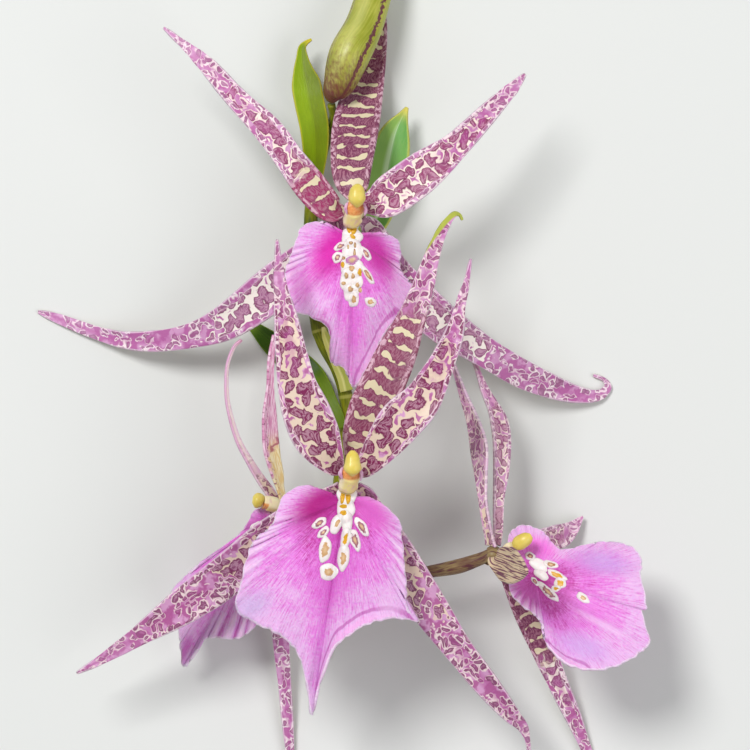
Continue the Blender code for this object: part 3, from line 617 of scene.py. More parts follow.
bars, entry, end = new_group("cream bars", LOOKS, Count=2.7, Break=0.47, Maroon="783256", Cream="E0D2B0")
place = surface_map(bars)
margin = times(apart(shares(bars)[0], 0.5), 2.0)
bent = pushed(pushed(place, 1.5, 0.30), 6.0, 0.13)
along_bent = after("SeparateXYZ", {0: bent})["Y"]
swing = number("SINE", times(times(along_bent, entry["Count"]), FULL_TURN))
gaps = noise(scaled(bent, 1.3, 1.3), 2.2, 1)
depth = plus(swing, times(minus(gaps, entry["Break"]), 2.6))
depth = minus(depth, times(ease(margin, 0.66, 0.86), 2.0))
bar = ease(depth, 0.62, 0.80)
streaks = noise(scaled(bent, 2.2, 0.8), 13.0, 3)
fringe = noise(scaled(bent, 1.0, 0.5), 12.0, 2)
fringe = times(ease(fringe, 0.49, 0.56), ease(margin, 0.70, 0.82))
give(end["Colour"], layers(
    entry["Maroon"],
    ("B07A8C", ease(streaks, 0.40, 0.62), 0.7),
    ("702C50", ease(depth, 0.0, 0.55), 0.45),
    ("DDB4C4", fringe, 0.8),
    (entry["Cream"], bar)))
give(end["Height"], plus(streaks, times(bar, -0.5)))


def tepal_skin(name, pattern, **given):
    """The patterned front of a petal or sepal."""
    material, tree, shader = finish(name, **WAXY)
    skin = use(tree, pattern, **given)
    paint(shader, skin["Colour"], skin["Height"], 0.14)
    return material


def striped_skin(name, ground, stripe):
    """The pale back of a petal or sepal, with stripes along it where the blotches show through."""
    material, tree, shader = finish(name, 0.45, coat=0.05, glow=0.08)
    lines = noise(scaled(surface_map(tree), 8.0, 0.25), 3.2, 2)
    paint(shader, mixed(ease(lines, 0.46, 0.56), ground, stripe), lines, 0.2)
    return material


def barred_skin(name, change, maroon="783256", reach=0.4, turned=1.5, **given):
    """Bars near the hub and blotches beyond, up to where the tip turns over and shows its back."""
    material, tree, shader = finish(name, **WAXY)
    blotches = use(tree, leopard, Reach=reach, Band=0.66, **given)
    barred = use(tree, bars, Break=0.44, Maroon=maroon)
    across, along = shares(tree)
    passed = plus(along, times(noise(surface_map(tree), 3.0, 2), 0.1))
    colour = over(barred["Colour"], blotches["Colour"], ease(passed, change, change + 0.06))
    turned_over = minus(along, times(across, 0.22))
    colour = over(colour, "AEB44A", ease(turned_over, turned, turned + 0.04))
    paint(shader, colour, blotches["Height"], 0.12)
    return material


tepal_back = striped_skin("tepal_back", "D0C49A", "9C6A84")
upper_pattern = dict(Count=3.8, Size=0.48, Halo=0.04, Faded=0.45, Cream="F4E4D6", Pink="B868A0")
blotched = tepal_skin("blotched", leopard, Reach=0.66, Band=0.84, Maroon="94406C", **upper_pattern)
crimson_barred = barred_skin("crimson_barred", 0.34, "9A2C60", reach=0.62, Maroon="94406C", **upper_pattern)
barred_sepal = tepal_skin("barred_sepal", bars)
side_sepal = tepal_skin("side_sepal", leopard, Reach=0.42, Band=0.72, Lost=0.3, Maroon="86466C")
light_sepal = tepal_skin("light_sepal", leopard, Reach=0.42, Band=0.72, Lost=0.3, Faded=0.35,
                         Maroon="A0648A", Cream="F4ECE2", Pink="B4659E")


def tepal(node, front, stations, shift, **shape):
    patch = blade(stations, hub_of(node), shift=shift, **shape)
    return grow(node, [front, tepal_back], [patch], BLADE_THICK)


tepal("upper_left_petal", crimson_barred, [
    (-11, 41.5, 33, 3.4), (-15.8, 46.8, 34.5, 4.1), (-21.2, 53.8, 35.5, 3.6), (-26.5, 61, 35.5, 3.6),
    (-35.2, 69.8, 34, 2.6), (-41.8, 77.2, 32, 2.1), (-46.8, 81.8, 30.5, 1.2), (-52.8, 86.8, 29, 0.3)],
    0.4, wave=0.6, ruffle=0.12)
tepal("upper_right_petal", blotched, [
    (-0.8, 42.8, 33, 3.2), (3.2, 44.5, 34.5, 5), (12.2, 51, 36, 5.1), (20.5, 57.6, 36, 3.4),
    (30.2, 67.5, 33.5, 2.2), (34.5, 71.8, 32, 1.5), (37.5, 75.2, 31, 0.4)],
    5.1, wave=0.6, ruffle=0.12)
tepal("upper_dorsal_sepal", barred_sepal, [
    (-5.5, 46.8, 28, 3.8), (-5.8, 52.2, 26, 5.1), (-4.8, 62, 17, 5.8), (-3, 70.8, 8.4, 5),
    (-1, 80, 4.2, 3.8), (0.8, 86.8, 2, 2.2), (2, 92.2, 0.6, 0.5)],
    9.3, roll=10, ruffle=0.08)
tepal("upper_left_sepal", light_sepal, [
    (-10, 36.8, 27, 2.5), (-18, 28.5, 25, 4.5), (-25, 22.1, 22, 5.5), (-36.8, 13.4, 17, 4.5),
    (-46.2, 9.8, 13, 3.1), (-55, 8.5, 8.5, 2.6), (-63.2, 8.8, 4.5, 2), (-71, 11, 2, 1.6),
    (-79.5, 14.2, 0.8, 1.2), (-84.2, 15.8, 0.6, 0.4)], 13.7, wave=0.5, ruffle=0.1, rows=90)
tepal("upper_right_sepal", light_sepal, [
    (-1.2, 37, 27, 2.5), (1, 33, 26.5, 3.3), (4, 26.8, 25.5, 4.2), (8.2, 21, 24, 5),
    (16.9, 12.9, 21, 4.9), (24.8, 7.5, 17.5, 4), (30, 4.2, 15, 3.7), (36.9, 0.2, 11, 3.6),
    (43.8, -2.8, 7, 3), (48.6, -4.4, 4.2, 2.3), (53.3, -5.2, 2.2, 1.7), (56.4, -4.9, 1.2, 1.2),
    (58.2, -2.9, 0.8, 0.9), (57.1, -1, 0.7, 0.5), (54.6, -0.1, 0.8, 0.3)],
    17.9, wave=0.5, ruffle=0.1, rows=110)

# The petals and sepals of the middle bloom
# The largest blades, made and joined as those of the upper bloom. The top sepal is barred, and its
# tip curls over to show its yellow green back.

large_blotched = tepal_skin("large_blotched", leopard, Count=3.3, Size=0.445, Reach=0.62, Band=0.84)
middle_barred = barred_skin("middle_barred", 0.50, "883A5C", turned=0.62, Maroon="8E3A6C", Pink="C078AC")

tepal("middle_left_petal", large_blotched, [
    (-10.5, -22.2, 48, 3.2), (-14.2, -16.2, 50, 5.8), (-17.2, -9.2, 51.5, 5.9), (-19.5, -2.5, 52, 4.9),
    (-21, 5.8, 51.5, 3.9), (-22.2, 13.8, 50, 2.9), (-23.5, 21.2, 48, 1.8), (-24.2, 28.2, 46, 0.9),
    (-24.5, 33.8, 44.5, 0.3)], 21.3, wave=0.6, ruffle=0.12)
tepal("middle_right_petal", large_blotched, [
    (-2.2, -22.8, 48, 2.8), (3.2, -15.8, 52, 5), (6.8, -11.2, 53, 5.5), (11.5, -6.5, 53, 4.9),
    (14.8, -0.8, 52.5, 3.9), (18, 5.8, 51, 2.9), (20, 11.2, 50, 2.2), (21.5, 18, 48, 1.2),
    (23, 23.8, 46.5, 0.7), (24, 29, 45, 0.2)], 25.2, wave=0.6, ruffle=0.12)
tepal("middle_dorsal_sepal", middle_barred, [
    (-5.2, -20.6, 43.5, 2.5), (-3.5, -16.2, 44, 4.8), (-0.8, -8.8, 44.5, 5.8), (2.5, -1.2, 44.5, 5.4),
    (5.8, 6.2, 44, 4.9), (9, 13.8, 43, 3.6), (11.8, 21.2, 42, 2.9), (13.8, 28.2, 41, 2.1),
    (15.8, 33.8, 40, 1.5), (17.8, 37.8, 39, 1.1), (19.8, 40.1, 38, 0.7), (21.2, 40, 37, 0.4),
    (21.8, 38.8, 36.5, 0.3)], 29.6, ruffle=0.08, rows=90)
tepal("middle_left_sepal", side_sepal, [
    (-11.2, -30, 42, 2.2), (-17.5, -34.5, 41.5, 4), (-26.2, -41.2, 39, 5.2), (-33.8, -47.5, 36.5, 5.2),
    (-40.8, -53, 34, 5.1), (-47.5, -57.5, 31.5, 4.5), (-53.8, -61.8, 29, 3.4), (-61, -66.5, 26.5, 2.2),
    (-68.5, -71.2, 24, 1.2), (-74.5, -74.5, 22, 0.3)], 33.1, wave=0.6, ruffle=0.1, rows=90)
tepal("middle_right_sepal", side_sepal, [
    (-2.2, -30.2, 42, 2.2), (-0.5, -34.5, 41.5, 3.3), (3.2, -41.1, 40, 4.4), (7.8, -49.2, 38, 4.9),
    (13.6, -58.3, 35, 4.7), (20.2, -67.7, 32, 3.7), (27.4, -76.9, 28, 3.1), (34, -84.8, 23.5, 2.1),
    (37, -88.1, 21, 1.2), (38.2, -91.6, 19.5, 0.6), (38.5, -96, 18.2, 0.3)],
    37.4, wave=0.6, ruffle=0.1, rows=90)

# The petals and sepals of the right bloom
# This bloom looks along +X, so the blades stand on edge or show their backs. The one towards the
# viewer rolls back over the lip and shows a pale back with dark stripes.

fan_stripes = striped_skin("fan_stripes", "DCC6A4", "77465A")
lower_barred = barred_skin("lower_barred", 0.52, reach=0.66, Maroon="94587E", Cream="F2E8DA")
pale_petal = tepal_skin("pale_petal", leopard, Count=3.6, Size=0.36, Reach=0.30, Band=0.6, Faded=0.4,
                        Maroon="AC7690", Cream="F2DCC0", Pink="E0A8CA")
netted_petal = tepal_skin("netted_petal", leopard, Count=4.4, Size=0.46, Halo=0.03, Reach=0.70, Band=0.8,
                          Faded=0.4, Maroon="B8849C", Cream="FAE8DC", Pink="DCA0C6")

tepal("right_left_petal", pale_petal, [
    (28.6, -40.6, 25.5, 0.9), (27.9, -37, 27, 0.9), (27, -31.2, 28, 0.9), (26.6, -25, 28, 1.4),
    (26.1, -18, 26.5, 2), (24.4, -11.2, 23, 1.4), (22.4, -5.8, 19, 0.9), (20.9, -1.4, 15.5, 0.6),
    (19.3, 3.2, 12, 0.3)], 41.2, roll=50)
tepal("right_dorsal_sepal", netted_petal, [
    (30.7, -40, 22.3, 1.1), (30.8, -36, 22, 1.2), (30.9, -31, 21.6, 1.3), (31.5, -24, 20.5, 1.9),
    (31.7, -17, 19, 2.2), (31.1, -12, 17, 2.2), (29.9, -8.6, 15.5, 1.6), (27.5, -3.8, 13, 1),
    (25.6, 1.3, 10.5, 0.5), (23.8, 5.8, 8, 0.3)], 45.8, roll=-30)
tepal("right_far_petal", netted_petal, [
    (34.2, -43.3, 19.5, 1.6), (38.2, -42.2, 15, 2.4), (42.5, -41.2, 11, 2.9), (46.5, -40.2, 7, 3),
    (49.2, -38.4, 4, 1.9), (51.9, -35.4, 2, 0.3)], 49.5, ruffle=0.1, rows=50)
tepal("right_near_sepal", fan_stripes, [
    (30.2, -46.2, 29, 2.4), (31.8, -46.8, 34, 3.8), (33.4, -47.5, 41, 4.5), (35, -48.2, 48, 4),
    (36.8, -48.8, 54, 2.4), (38, -49.2, 59, 0.4)], 53.3, rows=60)
tepal("right_lower_sepal", lower_barred, [
    (32.4, -49.6, 20.6, 1.4), (34.2, -52.8, 18.8, 2), (36.5, -57, 16, 2.7), (39.5, -63.2, 12.5, 3),
    (43.2, -71.2, 8.5, 2.9), (46.5, -78.8, 5.5, 2.4), (49.8, -86, 3.4, 1.9), (52.9, -93.8, 1.8, 1.3),
    (56.2, -102.5, 0.9, 0.7), (58.5, -108.8, 0.5, 0.3)], 57.7, wave=0.5, ruffle=0.06, rows=90)

# The petals and sepals of the left bloom
# This bloom looks along -X, behind the others. Its top sepal is a thin curved strap, and the
# petal beside it is pink above and cream below.

strap, tree, shader = finish("strap", **WAXY)
skin = use(tree, leopard, Count=4.0, Reach=0.25, Band=0.7, Lost=0.5, Maroon="9A6078", Pink="CFA4B0")
across, along = shares(tree)
pale = ramp(across, [(0.0, "DCA4C6"), (0.3, "F2DCDC"), (0.55, "F6EAE2"), (1.0, "E0B8D0")])
pale = over(pale, "DCA0BC", ease(along, 0.85, 1.0))
paint(shader, over(skin["Colour"], pale, ease(along, 0.2, 0.5), 0.8), skin["Height"], 0.14)

two_tone, tree, shader = finish("two_tone", **WAXY)
place = surface_map(tree)
across, along = shares(tree)
patchy = sway(noise(place, 5.0, 3), 0.5)
lengthwise = noise(scaled(place, 5.0, 0.6), 6.0, 3)
lit = ease(lengthwise, 0.40, 0.62)
toward_pink = plus(plus(along, times(minus(0.5, across), 0.7)), patchy)
pinkness = larger(ease(toward_pink, 0.56, 0.74), ease(along, 0.46, 0.62))
dots = times(ease(noise(place, 16.0, 2), 0.62, 0.68), ease(across, 0.5, 0.2))
streak = plus(plus(along, times(across, -0.10)), times(patchy, 0.25))
streak = times(ease(apart(streak, 0.44), 0.035, 0.005), ease(across, 0.3, 0.45))
colour = layers(
    mixed(lit, "EACF90", "F8ECC4"),
    (mixed(lit, "D88EB6", "F6D2E4"), pinkness),
    ("9A4C76", dots, 0.8),
    ("A52B62", streak, 0.8))
paint(shader, colour, lengthwise, 0.15)

tepal("left_dorsal_sepal", strap, [
    (-25.2, -30.8, 23, 1), (-26.6, -28.8, 24, 1.1), (-28.6, -26, 24.8, 1), (-31.1, -22, 25.5, 0.8),
    (-34.4, -15.8, 26, 0.6), (-36.7, -7.5, 25.5, 0.45), (-37.1, -1.2, 24.5, 0.35), (-36.7, 3.1, 23, 0.3),
    (-35.2, 6.9, 21.5, 0.3), (-33.4, 8.7, 20.5, 0.25)], 61.9, roll=-35)
tepal("left_right_petal", two_tone, [
    (-23.2, -30.2, 23.2, 0.8), (-23.8, -27.8, 23.6, 0.9), (-24.4, -25, 24, 1.4), (-25.4, -21.2, 24.6, 1.7),
    (-26, -18, 25, 1.9), (-26.3, -13.8, 25.4, 1.8), (-26.4, -9.5, 25.8, 1.6), (-26.2, -3, 26.3, 0.8),
    (-26, 3.8, 26.8, 0.7), (-25.2, 10, 27, 0.3)], 65.4, roll=-35)
tepal("left_far_petal", side_sepal, [
    (-26.6, -36, 17.8, 1.6), (-30.8, -41.5, 11.5, 3), (-34.8, -45.8, 7.5, 3.5), (-38.8, -50, 4, 3),
    (-42, -53.8, 2, 1.8), (-44.8, -57.2, 1.2, 0.3)], 69.2, rows=50)
tepal("left_near_sepal", fan_stripes, [
    (-21, -37.6, 26, 1.6), (-19.2, -40.6, 29, 2.8), (-18, -43.8, 32.5, 2.8), (-16.8, -47.8, 35.5, 2),
    (-15.8, -51.2, 37, 1), (-15, -53.8, 37.5, 0.3)], 73.6, rows=50)
tepal("left_lower_sepal", light_sepal, [
    (-21.6, -39.2, 19, 1.6), (-23.6, -45.2, 15, 3.2), (-24, -56.2, 11, 2.8), (-23.5, -66.5, 7.5, 2.1),
    (-22.8, -75, 5, 1.7), (-22, -84.8, 3, 1.4), (-21.3, -93.8, 1.6, 1.1), (-21, -101.2, 0.8, 0.6),
    (-20.8, -106.2, 0.5, 0.3)], 77.3, wave=0.3, ruffle=0.05, rows=90)

# The lips
# The broad lip of each bloom is one soft sheet, spread from under the column to a crinkled margin.
# It is deep magenta at its throat and pales to lilac, with fine veins that fan out to a white rim.

LIP_THICK = 0.7
LIP_RAYS = 240
LIP_RINGS = 34
PLEATS = 9
PLEAT_HEIGHT = 0.5
EDGE_CRIMP = 0.16
EDGE_JITTER = 0.12
CRINKLES = (31, 47)
FOLD_START = 0.62
FOLD_HEIGHT = 0.7
ROLL_START = 0.87

fanned, entry, end = new_group("fanned veins and painted light", LOOKS, Throat="B9248F", Middle="E47ADA", Edge="E5B4E5")
reach = shares(fanned)[1]
fold, rolled = shares(fanned, "fold")
flat = surface_map(fanned, "drawn")
veins = noise(scaled(surface_map(fanned), 4.6, 0.36), 9.0, 3)
grain = noise(flat, 15.0, 3)
paleness = plus(reach, sway(noise(flat, 1.6, 3), 0.5))
# The folds push the paleness too: painted highlight on their crests, painted shade in their troughs.
for push in (sway(veins, 0.65), sway(grain, 0.5), times(fold, 0.3)):
    paleness = plus(paleness, push)
under = ease(larger(times(rolled, -1.0), 0.0), 0.5, 0.7)
# Painted shade: a dark line where each margin that rolls up begins its roll.
crease_shade = ease(apart(rolled, 0.22), 0.16, 0.05)
white = ease(minus(reach, minus(0.992, times(grain, 0.02))), 0.0, 0.01)
give(end["Colour"], layers(
    entry["Throat"],
    (entry["Middle"], ease(paleness, 0.05, 0.52)),
    (entry["Edge"], ease(paleness, 0.45, 1.0)),
    (entry["Throat"], ease(veins, 0.46, 0.30), 0.24),
    ("F6DAF2", ease(veins, 0.56, 0.70), 0.2),
    # Paler where a margin rolls up: partly the paler underside that the roll shows, partly painted
    # highlight.
    ("F0AAE2", ease(rolled, 0.4, 0.6), 0.5),
    # Painted highlight on the crests of the folds, and painted shade in their troughs.
    ("F8DAF2", ease(fold, 0.25, 0.6), 0.5),
    (entry["Throat"], ease(fold, -0.2, -0.6), 0.3),
    # Deep magenta where a margin rolls down, and painted shade where a margin begins to roll up.
    ("B0289A", larger(under, crease_shade), 0.6),
    ("F8EAF6", white, 0.6)))
give(end["Height"], plus(veins, grain))

soft_patch, entry, end = new_group(
    "soft patch", [("Mask", "NodeSocketFloat")], Centre=(0, 0, 0), Size=(1, 1, 1), Turn=(0, 0, 0))
given = {"Vector": surface_map(soft_patch, "drawn"), "Location": entry["Centre"], "Rotation": entry["Turn"],
         "Scale": entry["Size"]}
local = after("Mapping", given, vector_type="TEXTURE")[0]
away = after("VectorMath", {0: local}, operation="LENGTH")["Value"]
give(end["Mask"], ease(away, 1.0, 0.15))


def lip_skin(name, patches):
    """A lip's colours, with soft patches of x, y, length, breadth, turn, strength and colour."""
    material, tree, shader = finish(name, 0.48, sheen=0.1, glow=0.12)
    skin = use(tree, fanned)
    colour = skin["Colour"]
    for x, y, length, breadth, turn, strength, code in patches:
        mask = use(tree, soft_patch, Centre=(x / MM_IN_CM, y / MM_IN_CM, 0),
                   Size=(length / MM_IN_CM, breadth / MM_IN_CM, 1), Turn=(0, 0, math.radians(turn)))["Mask"]
        colour = over(colour, code, mask, strength)
    paint(shader, colour, skin["Height"], 0.3)
    return material


def beyond(reach, start):
    """How far a reach goes past its start, as a share of what is left."""
    return max(0.0, (reach - start) / (1 - start))


def lip(node, material, base, outline, folds, rolls=(), crown=1.0):
    """A broad lip, spread from its base to a lobed outline of x, y and z.

    Folds are its creased stretches: shares of the outline where each starts and ends, and how
    many creases it has. Rolls are the stretches that curl up, or down where the height is below 0.
    """
    middle = placed(*base)
    drawn = smooth(outline, LIP_RAYS + 1, closed=True)
    edge = smooth([placed(*point) for point in outline], LIP_RAYS + 1, closed=True)
    reaches = np.linspace(0, 1, LIP_RINGS) ** 0.85
    grid, spread, share, flat, fold = blank(LIP_RAYS + 1, LIP_RINGS, 3, 2, 2, 2, 2)
    for i, end in enumerate(edge):
        round_share = i / LIP_RAYS
        turn = FULL_TURN * round_share
        length = np.linalg.norm(end - middle)
        for j, reach in enumerate(reaches):
            point = middle + (end - middle) * reach
            point[2] += crown * math.sin(math.pi * reach) * min(length / 20, 1)
            point[2] += PLEAT_HEIGHT * reach**3 * math.sin(PLEATS * turn)
            crinkle = math.sin(CRINKLES[0] * turn) + 0.7 * math.sin(CRINKLES[1] * turn + 2 * reach)
            point[2] += EDGE_CRIMP * reach**6 * crinkle
            point[:2] += (end - middle)[:2] / length * EDGE_JITTER * reach**8 * crinkle
            for first, last, count in folds:
                part = (round_share - first) / (last - first)
                if 0 < part < 1:
                    wave = math.sin(FULL_TURN * count * part + 3 * reach) * math.sin(math.pi * part)
                    fold[i, j, 0] = wave * beyond(reach, FOLD_START) ** 0.8
            point[2] += FOLD_HEIGHT * fold[i, j, 0]
            for first, last, height in rolls:
                part = (round_share - first) / (last - first)
                if 0 < part < 1:
                    curl = math.sin(math.pi * part) ** 0.6 * beyond(reach, ROLL_START)
                    fold[i, j, 1] = math.copysign(curl, height)
                    point[2] += height * curl**1.4
            grid[i, j] = point
            spread[i, j] = (round_share * 9, length * reach / MM_IN_CM)
            share[i, j] = (round_share, reach)
            flat[i, j] = (np.array(base[:2]) * (1 - reach) + drawn[i][:2] * reach) / MM_IN_CM
    maps = {"spread": spread, "share": share, "drawn": flat, "fold": fold}
    return grow(node, [material], [(grid, maps)], LIP_THICK)


upper_lip_skin = lip_skin("upper_lip_skin", [
    (-10.8, 31, 12, 6, 60, 0.95, "DC22AE"), (0.2, 30.5, 12, 5.5, -62, 0.95, "BE2898"),
    (-5.6, 9, 16, 5, 90, 0.35, "F272E6"), (-18.5, 22, 8, 4.5, 100, 0.55, "E878D4"),
    (6.2, 22.5, 8, 3.5, 80, 0.5, "EDB2E6")])
middle_lip_skin = lip_skin("middle_lip_skin", [
    (-14, -32.5, 12, 6.5, 35, 1, "AE1680"), (-0.9, -34.2, 9.5, 5.5, -45, 0.9, "DA60C2"),
    (-10, -46, 20, 8, 85, 0.5, "D048BE"), (-14.8, -72, 13, 2.6, 85, 0.35, "C864C2"),
    (-30.5, -57.5, 8, 5, 30, 0.7, "C9AEDB"), (4.5, -57, 9, 5, 60, 0.5, "EAC2EA")])
right_lip_skin = lip_skin("right_lip_skin", [
    (38.5, -54.5, 8, 4, -50, 0.7, "E060C4"), (41, -43, 7, 3.5, -20, 0.8, "F472DE"),
    (57, -47, 11, 4.5, -10, 0.75, "CB9ADF"), (52, -68, 11, 5, -20, 0.75, "CFA4E2"),
    (57, -62.5, 11, 1.4, -28, 0.6, "F3D6F6"), (52, -57, 15, 4, -35, 0.4, "F090E6")])
left_lip_skin = lip_skin("left_lip_skin", [
    (-30.5, -37, 6, 3, 40, 0.7, "D85CC8"), (-47.5, -68.5, 6, 1.6, 70, 0.7, "C64DB4")])

lip("upper_lip", upper_lip_skin, (-5.8, 34.6, 32.6), [
    (-8.7, 35.9, 32.6), (-13.2, 38.2, 32), (-17.8, 37.4, 31), (-19.8, 33.3, 30.5), (-21.3, 29.1, 30.5),
    (-22.5, 24.9, 30.5), (-21, 18.6, 31), (-20.2, 15.8, 31), (-16.8, 14.9, 32), (-11.5, 11.5, 33),
    (-11.1, 4.9, 32.5), (-10.4, 2.8, 32), (-7.6, 1.4, 32), (-5.3, -3.2, 30), (-2.8, 0, 32),
    (0.5, 6, 34), (2.2, 9.8, 34.5), (6.4, 16.1, 34), (9.2, 21.8, 32.5), (6.4, 26.3, 31.5),
    (6.1, 33, 31), (2.2, 35.4, 32), (-3.2, 35.3, 32.8)],
    [(0.12, 0.27, 7), (0.77, 0.88, 7)], [(0.565, 0.74, 1.2), (0.33, 0.50, -1.2)])
lip("middle_lip", middle_lip_skin, (-7.2, -31.0, 47.4), [
    (-10.2, -30.2, 47.6), (-13.2, -28.9, 47.5), (-18.4, -27.7, 47), (-23.2, -30.9, 46),
    (-25.6, -37.3, 46), (-29.6, -40.9, 45.5), (-31.6, -44.5, 45), (-33.6, -52.4, 45),
    (-34.8, -58.4, 44.5), (-29.4, -62.4, 45.5), (-25.6, -64, 46), (-21.6, -66.8, 46),
    (-18.8, -70.8, 45.5), (-17.2, -77, 44), (-15.8, -85.1, 41), (-14, -78, 43.5),
    (-10.5, -68.8, 46), (-7.2, -65.6, 46.5), (-2.9, -62.8, 46.5), (1.1, -61.4, 46), (5.5, -60.8, 45.5),
    (10.7, -61.6, 44), (8.1, -58.6, 45), (7.7, -51.7, 45.5), (6.7, -41.2, 46), (5.9, -36.1, 46.5),
    (0.3, -31.3, 47.5), (-4.2, -30.6, 47.8)], [(0.10, 0.28, 9), (0.78, 0.89, 8)], [(0.51, 0.745, 1.3)],
    crown=1.6)
lip("right_lip", right_lip_skin, (40.0, -51.2, 24.6), [
    (33.3, -41.6, 21.5), (34.2, -39, 20.5), (36.4, -37.7, 20), (39, -37.9, 20), (42, -39.2, 20.5),
    (44, -41.6, 21.5), (46.8, -43.7, 23), (52.8, -42.4, 23), (57.1, -41.8, 23.5), (61.8, -42.2, 24.5),
    (65.2, -43.7, 25.5), (66.8, -46.9, 27), (66.5, -50.3, 28.5), (68, -57.8, 31.5), (66.8, -59.2, 31.8),
    (68.7, -66.5, 34.5), (66.9, -68.9, 35), (63.9, -71.2, 36), (59.2, -73.2, 36), (54, -73.8, 36),
    (49.3, -72.9, 35.5), (46.2, -71, 35), (42.7, -67, 33.5), (41.8, -62.5, 32.5), (40, -60, 31),
    (35.8, -56.8, 28.5), (33.4, -52.6, 26)], [(0.84, 0.97, 7)], [(0.70, 0.82, 0.8)], crown=0.8)
lip("left_lip", left_lip_skin, (-27.0, -35.8, 24.6), [
    (-27.2, -33.8, 25.2), (-28.4, -33.2, 25.1), (-30.2, -34, 24.6), (-31.5, -36.4, 23.6),
    (-33.8, -39.8, 22), (-38.2, -43.4, 20), (-43.8, -47.2, 17.5), (-47.8, -50.9, 15),
    (-50.6, -54.2, 14), (-50.8, -57.8, 14), (-49.5, -61.8, 14), (-48.8, -65.5, 13.5),
    (-48.6, -69, 12.5), (-47.8, -73, 11), (-44.8, -69.4, 13.5), (-42.8, -66.2, 15.5),
    (-40, -65.6, 17), (-35.2, -66, 19), (-31.8, -64.5, 20.5), (-28.2, -60.8, 22),
    (-25.2, -54.2, 23), (-23.6, -46.8, 23.8), (-23.4, -40.8, 24.4), (-24.4, -37.2, 24.8)],
    [(0.60, 0.80, 6)], crown=0.8)

# The crests
# Each lip carries a white fleshy crest under the column. It is a cluster of smooth raised lobes,
# most of them with a gold, tan or mauve middle, and it is one growth with the lip.

LOBE_RAYS = 28
LOBE_PROFILE = ((0, 1.0), (0.3, 0.97), (0.5, 0.88), (0.7, 0.72), (0.85, 0.5), (0.95, 0.26), (1.0, 0.0),
                (0.97, -0.15), (0, -0.15))
RAY_TOP = 100.0
LIP_LEVEL = {"upper_lip": 33.0, "middle_lip": 48.0, "right_lip": 26.0, "left_lip": 24.0}
GOLD = 0.0
TAN = 0.33
BROWN = 0.66
MAUVE = 0.9
PINK = 1.0
PLAIN = 9.0

crest_skin, tree, shader = finish("crest_skin", 0.35, coat=0.15, glow=0.15)
place = surface_map(tree)
depth, hue = shares(tree)
grain = noise(place, 14.0, 2)
marked = ease(plus(depth, sway(grain, 1.0)), 1.05, 0.75)
mark = ramp(hue, [(GOLD, "D9A226"), (TAN, "C79A68"), (BROWN, "A0683E"), (MAUVE, "96586A"), (PINK, "C276B4")])
mark = over(mark, "D9B78C", times(ease(depth, 0.75, 0.1), ease(hue, 0.1, 0.3)))
colour = over(mixed(noise(place, 9.0, 2), "F3EEE6", "E9DCE0"), mark, marked)
paint(shader, colour, grain, 0.1)


def skin_below(piece):
    """The upper face of a finished sheet, to lay other pieces on."""
    shown = piece.evaluated_get(bpy.context.evaluated_depsgraph_get()).to_mesh()
    corners = [vertex.co / MM for vertex in shown.vertices]
    return corners, [tuple(face.vertices) for face in shown.polygons]


def crest(node, lip_node, lobes):
    """A cluster of lobes of x, y, half length, half breadth, turn, height, middle and its share."""
    corners, faces = skin_below(bpy.data.objects[lip_node + "_look"])
    patches = []
    for x, y, length, breadth, turn, height, hue, cover in lobes:
        below = BVHTree.FromPolygons(corners, faces)
        level = placed(x, y, LIP_LEVEL[lip_node])
        slant = math.radians(turn)
        grid, spread, share = blank(LOBE_RAYS + 1, len(LOBE_PROFILE), 3, 2, 2)
        for i in range(LOBE_RAYS + 1):
            angle = FULL_TURN * (i % LOBE_RAYS) / LOBE_RAYS
            wobble = 1 + 0.05 * math.sin(3 * angle + x) + 0.04 * math.sin(5 * angle + y)
            ahead = math.cos(angle) * length * wobble
            aside = math.sin(angle) * breadth * wobble
            spoke = np.array([ahead * math.cos(slant) - aside * math.sin(slant),
                              ahead * math.sin(slant) + aside * math.cos(slant)])
            for j, (reach, rise) in enumerate(LOBE_PROFILE):
                place_x, place_y = level[:2] + spoke * reach
                hit = below.ray_cast((place_x, place_y, RAY_TOP), (0, 0, -1))[0]
                ground = hit[2] if hit is not None else level[2]
                grid[i, j] = (place_x, place_y, ground + height * rise)
                spread[i, j] = (place_x / MM_IN_CM, place_y / MM_IN_CM)
                share[i, j] = (PLAIN if cover == 0 else reach / cover, hue)
        patches.append((grid, {"spread": spread, "share": share}))
        faces += quads(*grid.shape[:2], len(corners))
        corners += grid.reshape(-1, 3).tolist()
    return grow(node, [crest_skin], patches)


